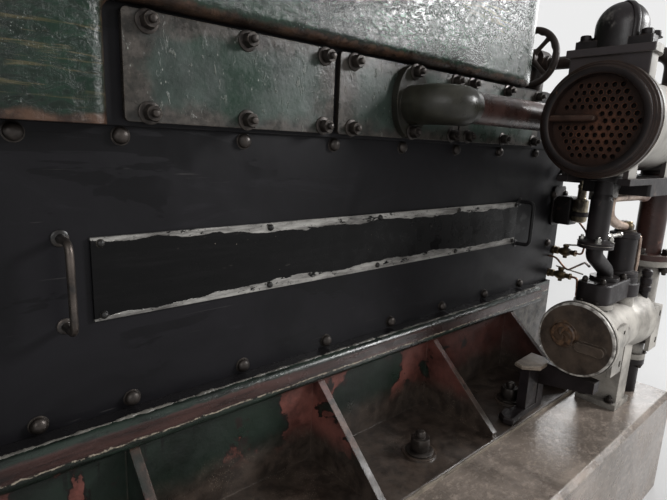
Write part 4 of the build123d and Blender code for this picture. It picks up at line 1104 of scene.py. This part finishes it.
class OBJECT_OT_engine_cooler_fittings(bpy.types.Operator):
    """Front ring, joint lines, tube ends, strap, nuts and bolts of the cooler and its column"""
    bl_idname = "object.engine_cooler_fittings"
    bl_label = "Cooler fittings"

    def execute(self, context):
        low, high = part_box("cooler_ring")
        plate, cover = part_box("tube_plate")[1].x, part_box("cooler_end_cover")[0].x
        axis = middle_of("cooler_ring") * (0, 1, 1)
        self.ring(low, high, axis)
        self.joint_lines(axis, high.x, plate, cover)
        self.tube_ends(axis, high.x)
        rim = (high.z - axis[2]) - 0.0105
        bolts = [ring_of(axis + (x + 0.015, 0, 0), COOLER_WAY, rim, 12, 0.26) for x in (plate, cover)]
        fasten("cooler_flange_bolts", "cooler_grey", (hex_bolt(0.013), np.concatenate(bolts), COOLER_WAY, 12, 0.03))
        self.tower_top()
        self.column()
        return {"FINISHED"}

    def ring(self, low, high, axis):
        """The cooler's front ring turned in steps from its bore out to the full flange, with the rounded
        partition bar across one half."""
        outer, deep = (high.z - low.z) / 2, high.x - low.x
        profile = [(0.107, deep), (0.1068, 0.006), (0.108, 0.0025), (0.1105, 0.0008), (0.1195, 0.0), (0.1225, 0.001),
                   (0.1245, 0.0035), (0.125, 0.0085), (0.1265, 0.0105), (0.1305, 0.0112), (0.1318, 0.0125),
                   (0.1322, 0.0165), (0.1335, 0.0175), (outer - 0.0012, 0.0178), (outer, 0.019), (outer, deep)]
        ring = placed(lathe(profile, 128, wrap=True), (low.x, *axis[1:]), COOLER_WAY)
        add_piece("cooler_front_ring", ring, "ring_black", stands_for=("cooler_ring",), smooth=30)
        bar = slab(0.0078, 0.0575, 0.021, 0.0074, 0.0055, 8)
        turn = np.array([(0, 0, 1), (0, 1, 0), (-1, 0, 0)], float)
        place = (high.x, axis[1] + 0.0545, axis[2] + PARTITION_Z)
        add_piece("cooler_partition", facing_out(Shape(bar.points @ turn + place, bar.faces)), "partition",
                  smooth=30)

    def joint_lines(self, axis, *stations):
        """Pale lines of jointing at the ring and the covers: thin rings, r = R + t cos b, x = t sin b."""
        turn = circle(8)
        section = np.column_stack([0.1352 + 0.0016 * np.cos(turn), 0.0011 * np.sin(turn)])
        line = lathe(section, 96, wrap=True)
        shape = joined(*[placed(line, axis + (x, 0, 0), COOLER_WAY) for x in stations])
        add_piece("cooler_joint_lines", shape, "joint_line")

    def tube_ends(self, axis, face):
        """A rolled rim on every tube end: a small ring at each point of the staggered grid
        y = (column + half for odd rows) p, z = row p sqrt(3) / 2, inside the field's circle and clear of
        the partition."""
        step = TUBE_PITCH * math.sqrt(3) / 2
        rows = int(TUBE_FIELD / step) + 1
        row, column = np.meshgrid(np.arange(-rows, rows + 1), np.arange(-rows - 1, rows + 2), indexing="ij")
        y = column * TUBE_PITCH + np.where(row % 2, TUBE_PITCH / 2, 0)
        z = row * step
        shaded = (y > -TUBE_PITCH / 2) & (np.abs(z - PARTITION_Z) < 0.014)
        kept = (np.hypot(y, z) < TUBE_FIELD) & ~shaded
        places = points_of(face, axis[1] + y[kept], axis[2] + z[kept])
        rim = lathe([(0.0057, 0.001), (0.0062, -0.0011), (0.0070, -0.0012), (0.0076, 0.001)], 14, wrap=True)
        fasten("tube_rims", "tube_rust", (rim, places, COOLER_WAY, 13, 0.1), finish="tube_rust")

    def tower_top(self):
        """Nuts on the top elbow's plate and the rib over its dome, a flat bar swept along a meridian
        centre + R (cos e, sin e) from the dome's foot over its top."""
        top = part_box("top_elbow")[1].z
        centre = np.array([*DOME, top - DOME_RADIUS])
        nuts = [centre + (x, y, -DOME_PLATE) for x, y in ((-0.031, -0.068), (-0.031, 0.068), (0.005, 0.0725),
                                                          (0.005, -0.0725))]
        fasten("tower_nuts", "cooler_black", (hex_bolt(0.023), nuts, UP, 14, 0.03), finish="cooler_black")
        rise = np.linspace(-0.02, math.pi - 0.6, 40)
        reach = DOME_RADIUS + 0.0005
        along_x, along_y = RIB_WAY
        out = reach * np.cos(rise)
        path = centre + points_of(out * along_x, out * along_y, reach * np.sin(rise))
        path = np.concatenate([[path[0] - (0, 0, 0.028)], path])
        path[:, 2] = np.minimum(path[:, 2], top - 0.0022)
        bar = np.array([(-0.0022, -0.007), (0.0012, -0.0078), (0.0026, -0.006), (0.0026, 0.006), (0.0012, 0.0078),
                        (-0.0022, 0.007)])
        add_piece("dome_rib", swept(path, bar, up=(-along_y, along_x, 0)), "cooler_black")

    def column(self):
        """Bolts through the return column's lower flanges: heads above and nuts below."""
        x, y, _ = middle_of("return_column")
        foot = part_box("return_column")[0].z
        above, below = ([(x + dx, y + dy, z) for dx, dy in COLUMN_BOLTS]
                        for z in (foot + COLUMN_FLANGE, foot - COLUMN_FLANGE))
        fasten("column_bolts", "column_brown", (hex_bolt(0.027), above, UP, 15, 0.02),
               (stud_nut(0.025), below, DOWN, 16, 0.02))
        edge = lathe([(0.0735, 0.0002), (0.0742, -0.0012), (0.0735, -0.0026)], 64, wrap=True)
        lips = joined(*[placed(edge, (x, y, z)) for z in (foot + 0.0012, foot + 0.0186)])
        add_piece("column_joint_lines", lips, "joint_line")


class OBJECT_OT_engine_pipework(bpy.types.Operator):
    """Small pipes, unions, cocks and the lubricator between the cooler and the pump"""
    bl_idname = "object.engine_pipework"
    bl_label = "Small pipes"

    def execute(self, context):
        self.drain()
        self.vessel()
        self.stack()
        self.lubricator()
        self.cocks()
        return {"FINISHED"}

    def drain(self):
        """The thick curved pipe from the relief vessel up and round to the column, with its flared end
        and the ribbed union that hangs from the cooler over its bend."""
        y, top = STACK_Y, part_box("relief_vessel")[1].z
        line = rounded_path([(VESSEL_X, y, top + 0.012), (0.545, y, top + 0.03), (0.49, y, top + 0.056),
                             (0.486, y, top + 0.104), (0.56, y, top + 0.104), (0.745, y, top + 0.101)], 0.04)
        drain = swept(line, round_section(0.0125), FAR, 1 + 0.12 * np.linspace(0, 1, len(line)))
        end = along((0.72, y, top + 0.1012), (0.752, y, top + 0.101), 7)
        flare = swept(end, round_section(0.0138, 24), FAR, [1.0, 1.0, 1.06, 1.18, 1.36, 1.42, 1.42])
        stub = pipe([(0.748, y, top + 0.101), (0.828, y, top + 0.101)], 0.0085, 0.01, FAR)
        add_piece("drain_stub", stub, "cooler_black")
        add_piece("drain_pipe", joined(drain, flare), "pink_pipe", smooth=50)
        z = np.linspace(0, 0.034, 35)
        union = lathe(np.column_stack([0.0165 + 0.0016 * np.sin(z * 2 * math.pi / 0.0068), z]), 28)
        neck = lathe([(0.0125, 0), (0.0145, 0.006), (0.0145, 0.07)], 24)
        shape = joined(lifted(union, 0.036), neck, lifted(hexagon(0.031, 0.012), 0.0245))
        add_piece("cooler_union", placed(shape, (0.494, y, top + 0.104)), "union_steel")

    def vessel(self):
        """Brass gland on the relief vessel and the thin pipe down its side."""
        low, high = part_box("relief_vessel")
        gland = joined(lifted(lathe([(0.029, 0), (0.029, 0.004), (0.026, 0.006)], 36), -0.0005),
                       lifted(hexagon(0.038, 0.017), 0.005),
                       lifted(lathe([(0.0165, 0), (0.0165, 0.006), (0.0145, 0.009)], 28), 0.0215))
        add_piece("relief_gland", placed(gland, (VESSEL_X, STACK_Y, high.z)), "brass")
        x, y = VESSEL_X + 0.03, STACK_Y - 0.033
        thin = pipe([(x - 0.012, y + 0.018, high.z - 0.012), (x, y, high.z - 0.012), (x + 0.002, y - 0.002, 0.80),
                     (x - 0.004, y - 0.001, low.z - 0.012)], 0.0048, 0.014, (1, 0.3, 0), 14)
        collar = placed(hexagon(0.016, 0.009), (x - 0.002, y - 0.001, low.z + 0.003))
        add_piece("relief_side_pipe", joined(thin, collar), "pink_pipe")

    def stack(self):
        """Nuts on the stack's joint, the coupling to the vessel and cap nuts on the chest."""
        nuts = ring_of((STACK_X, STACK_Y, STACK_JOINT), UP, 0.0345, 4, 0.5)
        fasten("stack_nuts", "cooler_black", (stud_nut(0.014), nuts, UP, 17, 0.03), finish="bright_steel")
        rim = lathe([(0.0436, 0.0), (0.0444, -0.0014), (0.0436, -0.0028)], 56, wrap=True)
        add_piece("stack_joint_line", placed(rim, (STACK_X, STACK_Y, STACK_JOINT - 0.006)), "joint_line")
        z = STACK_JOINT + 0.004
        run = pipe([(STACK_X + 0.02, STACK_Y, z), (VESSEL_X - 0.03, STACK_Y, z)], 0.0055, 0.01, around=14)
        nuts = [placed(hexagon(across, tall), (x, STACK_Y, z), COOLER_WAY)
                for across, tall, x in ((0.024, 0.026, 0.492), (0.017, 0.01, 0.458), (0.017, 0.01, 0.594))]
        add_piece("stack_coupling", joined(run, *nuts), "bright_steel")
        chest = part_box("valve_chest")[1].z
        caps = [(0.46, -0.736, chest), (0.46, -0.688, chest), (0.586, -0.744, chest), (0.586, -0.68, chest)]
        fasten("chest_nuts", "cooler_black", (cap_nut(0.0145), caps, UP, 18, 0.03))

    def lubricator(self):
        """Brass cup with its neck and feed pipe, on a black housing bolted to the case's corner."""
        x, y = CUP_X, CUP_Y
        door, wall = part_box("front_door")[0].y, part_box("timing_case")[0].y
        cup = [(0.015, 0.862), (0.0235, 0.866), (0.0262, 0.872), (0.0262, 0.902), (0.0268, 0.904),
               (0.0262, 0.906), (0.0262, 0.938), (0.0245, 0.944), (0.0165, 0.948), (0.0145, 0.952),
               (0.0145, 0.985), (0.0165, 0.987), (0.0165, 0.997), (0.0125, 0.999), (0.0125, 1.012), (0.006, 1.016)]
        add_piece("lubricator_cup", placed(lathe(cup), (x, y, 0)), "oil_cup")
        feed = pipe([(x, y, 1.01), (x, y, 1.105), (x + 0.02, wall - 0.004, 1.105)], 0.007, 0.03, (1, 0, 0))
        seat = placed(hexagon(0.024, 0.012), (x + 0.02, wall, 1.105), NEAR)
        add_piece("lubricator_feed", joined(feed, seat), "copper")
        upright = np.array([(1, 0, 0), (0, 0, 1), (0, -1, 0)], float)
        plates = [facing_out(Shape(plate.points @ upright + place, plate.faces)) for plate, place in (
            (slab(0.036, 0.052, 0.056, 0.012, 0.006), (0.918, door - 0.008, 0.9)),
            (slab(0.046, 0.072, 0.008, 0.014, 0.002), (0.908, door - 0.0005, 0.914)))]
        clamp = lathe([(0.0255, 0), (0.0315, 0), (0.0315, 0.016), (0.0255, 0.016)], wrap=True)
        lug = slab(0.014, 0.012, 0.016, 0.003, 0.0015)
        housing = joined(*plates, placed(clamp, (x, y, 0.885)), placed(lug, (x + 0.004, y + 0.036, 0.885)))
        add_piece("lubricator_housing", housing, "cooler_black")
        fasten("lubricator_bolt", "case_black", (cup_bolt(0.012), [(0.943, door - 0.0085, 0.957)], NEAR, 19))
        tag = placed(slab(0.003, 0.011, 0.04, 0.002, 0.001), (x + 0.002, y - 0.034, 0.948))
        hook = pipe([(x + 0.002, y - 0.014, 0.985), (x + 0.002, y - 0.034, 0.985), (x + 0.004, y - 0.036, 1.0)],
                    0.003, 0.008, (1, 0, 0), 12)
        add_piece("lubricator_lever", joined(tag, hook), "bright_steel")

    def cocks(self):
        """Drain cocks low on the timing case with their levers and copper lines."""
        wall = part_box("timing_case")[0].y
        body = lathe([(0.009, 0), (0.009, 0.01), (0.014, 0.012), (0.014, 0.022), (0.0105, 0.026), (0.0135, 0.034),
                      (0.0175, 0.044), (0.0175, 0.054), (0.0135, 0.064), (0.0095, 0.068), (0.0095, 0.08),
                      (0.012, 0.082), (0.012, 0.088)], 28)
        plug = lathe([(0.0075, -0.024), (0.0085, 0.016), (0.011, 0.02), (0.011, 0.026), (0.006, 0.029)], 24)
        shapes = [placed(body, (x, wall, z), NEAR) for x, z in COCKS]
        shapes += [placed(plug, (x, wall - 0.049, z)) for x, z in COCKS]
        shapes += [placed(hexagon(0.03, 0.01), (x, wall, z), NEAR) for x, z in COCKS]
        add_piece("drain_cocks", joined(*shapes), "brass")
        (x, z), (x2, z2) = COCKS
        levers = (pipe([(x, wall - 0.049, z + 0.027), (x - 0.012, wall - 0.03, z + 0.034),
                        (x + 0.03, wall - 0.12, z + 0.012)], 0.0032, 0.02, around=12),
                  pipe([(x2, wall - 0.049, z2 + 0.027), (x2 + 0.012, wall - 0.09, z2 + 0.03)], 0.0034, 0.01,
                       around=12))
        add_piece("cock_levers", joined(*levers), "bright_steel")
        line = 0.0036
        routes = ((line, [(0.905, wall, 0.72), (0.905, wall - 0.03, 0.72), (0.925, wall - 0.07, 0.672),
                          (0.78, -0.56, 0.745), (0.47, -0.69, 0.80)]),
                  (line * 1.2, [(x, wall - 0.086, z), (x, wall - 0.112, z), (0.93, wall - 0.116, 0.585),
                                (0.9, -0.52, 0.4), (0.9, -0.52, 0.366)]),
                  (line, [(x2, wall - 0.086, z2), (x2, wall - 0.11, z2), (0.93, -0.5, 0.82), (0.905, CUP_Y, 0.864)]))
        pipes = [pipe(route, radius, 0.03, around=12) for radius, route in routes]
        ring = lathe([(0.0125, 0), (0.0165, 0), (0.0165, 0.012), (0.0125, 0.012)], 24, wrap=True)
        add_piece("copper_lines", joined(*pipes, placed(ring, (0.9295, wall - 0.11, 0.6), (0.4, -1, 0))),
                  "copper")


class OBJECT_OT_engine_pump_fittings(bpy.types.Operator):
    """Pump cover's rim and casting marks, grease cup, flange bolts and the stool's pad"""
    bl_idname = "object.engine_pump_fittings"
    bl_label = "Pump fittings"

    def execute(self, context):
        low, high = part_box("pump_cover")
        z = middle_of("pump_cover")[2]
        rim = lathe([(0.1022, 0.0), (0.1048, -0.0004), (0.1048, 0.0042), (0.1022, 0.0046)], 96, wrap=True)
        add_piece("pump_rim", placed(rim, (high.x - 0.0046, STACK_Y, z), COOLER_WAY), "pump_silver")
        self.relief((low.x + 0.0055, STACK_Y + PUMP_BOSS[0], z + PUMP_BOSS[1]))
        cup = [(0.0125, 0), (0.0125, 0.02), (0.0168, 0.022), (0.0168, 0.036), (0.0145, 0.038), (0.0145, 0.044),
               (0.0168, 0.046), (0.0168, 0.062), (0.0125, 0.064), (0.0125, 0.07), (0.015, 0.072), (0.015, 0.084),
               (0.009, 0.09)]
        add_piece("grease_cup", placed(lathe(cup, 32), (0.738, STACK_Y - 0.048, 0.682)), "cooler_black")
        self.flange_bolts()
        self.stool()
        return {"FINISHED"}

    def relief(self, place):
        """Worn raised casting marks in the middle of the cover: a disc of rings whose height is
        h (1 - (r / R)^4) (0.6 + 0.5 g), where g is the mean of four seeded ripples
        sin((i + 2) a + phase + 90 (i + 1) r)."""
        radius = 0.0285
        r = np.linspace(0, radius, 22)[::-1, None]
        angle = circle(64)
        phase = np.random.default_rng(41).uniform(0, 6.28, 4)
        ripple = sum(np.sin((i + 2) * angle + phase[i] + 90 * (i + 1) * r) for i in range(4)) / 4
        height = 0.0036 * (1 - (r / radius) ** 4) * (0.6 + 0.5 * ripple)
        rings = points_of(r * np.cos(angle), r * np.sin(angle), height)
        base = rings[:1] * (1, 1, 0) + (0, 0, -0.003)
        shape = placed(skin(np.concatenate([base, rings[:-1]])), place, FLYWHEEL_WAY)
        add_piece("pump_cover_relief", shape, "relief_rust", smooth=70)

    def flange_bolts(self):
        """Bolts of the suction flange from both sides, of the chest's pad and of the pump's feet."""
        x, y, _ = middle_of("suction_pipe")
        z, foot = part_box("suction_pipe")[1].z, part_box("pump_body")[0].z
        top = [(STACK_PAD_X + 0.038 * math.cos(a), STACK_Y + 0.038 * math.sin(a), STACK_PAD_Z) for a in (2.6, -2.6)]
        feet = [(PUMP_X + dx, STACK_Y + dy, foot + 0.018) for dx in (-0.045, 0.045) for dy in (-0.04, 0.04)]
        fasten("pump_flange_bolts", "pump_silver",
               (hex_bolt(0.014), ring_of((x, y, z + 0.018), UP, 0.0335, 3, 0.9), UP, 42),
               (hex_bolt(0.014), ring_of((x, y, z - 0.018), DOWN, 0.0335, 3, 0.9), DOWN, 43),
               (hex_bolt(0.013), top, UP, 44), (stud_nut(0.018), feet, UP, 45))

    def stool(self):
        """The stool's worn top pad with the web under it, and its toe on the foot."""
        low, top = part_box("pump_stool")[0].z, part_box("pump_stool")[1].z
        pad = prism([(0.335, -0.578), (0.443, -0.5725), (0.443, -0.612), (0.42, -0.64), (0.362, -0.643),
                     (0.326, -0.604)], top - 0.012, top + 0.0005, 0.003)
        web = prism([(0.344, -0.592), (0.344, -0.62), (0.407, -0.62), (0.407, -0.592)], low + 0.01, top - 0.01, 0.001)
        toe = prism([(0.262, -0.586), (0.3, -0.582), (0.3, -0.63), (0.252, -0.634), (0.244, -0.61)], low,
                    low + 0.022, 0.005)
        add_piece("stool_pad", pad, "stool_top")
        add_piece("stool_web", joined(web, toe), "cooler_black")


class OBJECT_OT_engine_handwheel(bpy.types.Operator):
    """Cast handwheel with a scalloped rim, its spokes, hub and spindle nut"""
    bl_idname = "object.engine_handwheel"
    bl_label = "Handwheel"

    def execute(self, context):
        """Rim: about the wheel's circle R, at angle a and section angle b the point is R + t cos b out and
        t sin b along, where the inner half's t grows by a cosine of the scallop count times a."""
        low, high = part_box("handwheel")
        centre = (WHEEL_X, *middle_of("handwheel")[1:])
        thick = 0.0112
        middle = (high.z - low.z) / 2 - thick
        angle, turn = circle(144)[:, None], circle(18)
        swell = 1 + np.clip(-np.cos(turn), 0, 1) * (0.14 + 0.14 * np.cos(WHEEL_SCALLOPS * angle))
        reach = middle + thick * swell * np.cos(turn)
        rim = skin(points_of(reach * np.cos(angle), reach * np.sin(angle), thick * 0.95 * np.sin(turn)), wrap=True)
        hub = lathe([(0.0125, -0.0115), (0.019, -0.0115), (0.0205, -0.009), (0.0215, 0.0), (0.0205, 0.0125),
                     (0.0125, 0.0135)], 36)
        width = [1.5, 1.25, 1.08, 1, 1, 1, 1.06, 1.22, 1.5]
        spokes = []
        for a in math.pi / 4 + np.arange(4) * math.pi / 2:
            start, end = ((r * math.cos(a), r * math.sin(a), 0) for r in (0.014, middle))
            spokes.append(swept(along(start, end, 9), round_section(0.0066, 18) * (1.2, 0.85), scale=width))
        spindle = lathe([(0.0088, 0), (0.0088, high.x - WHEEL_X)], 28)
        nut = joined(washer(0.0125, 0.0015), lifted(hexagon(0.0165, 0.0045), 0.0012))
        wheel = placed(joined(rim, hub, *spokes, spindle), centre, COOLER_WAY)
        cap = placed(nut, (WHEEL_X - 0.0115, *centre[1:]), FLYWHEEL_WAY)
        add_piece("handwheel_casting", joined(wheel, cap), "wheel_iron", body=WHEEL, stands_for=("handwheel",),
                  smooth=50)
        return {"FINISHED"}


class OBJECT_OT_engine_end_fasteners(bpy.types.Operator):
    """Bolts of the timing case, gear cover, governor, rocker covers, manifolds and flywheel hub"""
    bl_idname = "object.engine_end_fasteners"
    bl_label = "End fasteners"

    def execute(self, context):
        low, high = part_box("timing_case")
        ys = np.linspace(low.y + 0.022, high.y - 0.022, 6)
        zs = np.linspace(TIMING_FOOT + 0.024, high.z - 0.024, 7)
        edge = [(TIMING_FACE, y, z) for y in (ys[0], ys[-1]) for z in zs]
        edge += [(TIMING_FACE, y, z) for z in (zs[0], zs[-1]) for y in ys[1:-1]]
        edge = [spot for spot in edge if math.dist(spot[1:], (0, GEAR_Z)) > GEAR_CLEAR
                and math.dist(spot[1:], GOVERNOR) > GOVERNOR_CLEAR]
        gear = ring_of((TIMING_FACE + 0.018, 0, GEAR_Z), COOLER_WAY, 0.196, 12, 0.1)
        inner = ring_of((TIMING_FACE + 0.044, 0, GEAR_Z), COOLER_WAY, 0.078, 6, 0.3)
        fasten("timing_case_bolts", "case_black", (hex_bolt(0.018), edge, COOLER_WAY, 51, 0.02),
               (hex_bolt(0.016), gear, COOLER_WAY, 52, 0.02), (hex_bolt(0.016), inner, COOLER_WAY, 53, 0.02))
        spots = []
        for i in NUMBERS:
            a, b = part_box(f"rocker_cover_{i}")
            z = a.z + 0.014
            spots += [(x, y, z) for x in (a.x + 0.008, b.x - 0.008) for y in (-0.13, 0.0, 0.13)]
            spots += [((a.x + b.x) / 2, y, z) for y in (a.y + 0.008, b.y - 0.008)]
        fasten("rocker_cover_bolts", "casing_green", (hex_bolt(0.013), spots, UP, 55, 0.03))
        self.manifolds()
        self.hub()
        return {"FINISHED"}

    def manifolds(self):
        """Nuts at the corners of each branch's flange, and bolts round the manifolds' end flanges."""
        flanges = [(stud_nut(0.021), [(x + dx, side * MANIFOLD_FACE, MANIFOLD_Z + dz) for x in CYLINDERS
                                      for dx in (-0.07, 0.07) for dz in (-0.036, 0.036)], (0, side, 0), seed, 0.02)
                   for side, seed in ((1, 61), (-1, 62))]
        fasten("manifold_nuts", "tube_rust", *flanges)
        ends = []
        for node, y, radius in MANIFOLD_ENDS:
            low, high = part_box(node)
            for x, out in ((low.x + 0.018, COOLER_WAY), (high.x - 0.018, FLYWHEEL_WAY)):
                ends.append((hex_bolt(0.014), ring_of((x, y, MANIFOLD_Z), out, radius, 6, 0.26), out, 63))
        fasten("manifold_end_bolts", "tube_rust", *ends)

    def hub(self):
        """Key and clamping bolts of the flywheel's hub."""
        x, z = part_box("flywheel")[0].x, middle_of("flywheel")[2]
        bolts = [(x, HUB_CIRCLE * math.cos(a), z + HUB_CIRCLE * math.sin(a)) for a in HUB_BOLTS]
        key = placed(slab(0.009, 0.008, 0.02, 0.002, 0.0015), (x + 0.001, 0, z + 0.068), FLYWHEEL_WAY)
        add_piece("flywheel_hub_bolts", joined(copies(hex_bolt(0.03), bolts, FLYWHEEL_WAY, 64, 0.01), key),
                  "fastener_iron")


# Panel and registration

STEPS = (OBJECT_OT_engine_stage, OBJECT_OT_engine_finishes, OBJECT_OT_engine_fasteners, OBJECT_OT_engine_trim,
         OBJECT_OT_engine_cooler_fittings, OBJECT_OT_engine_pipework, OBJECT_OT_engine_pump_fittings,
         OBJECT_OT_engine_handwheel, OBJECT_OT_engine_end_fasteners)


class VIEW3D_PT_oil_engine(bpy.types.Panel):
    """Lists the engine's operators, sizes and colours"""
    bl_label = "Oil engine"
    bl_space_type = "VIEW_3D"
    bl_region_type = "UI"
    bl_category = "Oil engine"

    def draw(self, context):
        for step in STEPS:
            self.layout.operator(step.bl_idname)
        for group in (context.scene.oil_engine_sizes, context.scene.oil_engine_colours):
            box = self.layout.box()
            for key in group.__annotations__:
                box.prop(group, key)


CLASSES = (EngineSizes, EngineColours, *STEPS, VIEW3D_PT_oil_engine)


def register():
    for item in CLASSES:
        bpy.utils.register_class(item)
    bpy.types.Scene.oil_engine_sizes = PointerProperty(type=EngineSizes)
    bpy.types.Scene.oil_engine_colours = PointerProperty(type=EngineColours)


def unregister():
    del bpy.types.Scene.oil_engine_colours
    del bpy.types.Scene.oil_engine_sizes
    for item in reversed(CLASSES):
        bpy.utils.unregister_class(item)


def main():
    register()
    for step in STEPS:
        group, name = step.bl_idname.split(".")
        getattr(getattr(bpy.ops, group), name)()


if __name__ == "__main__":
    main()
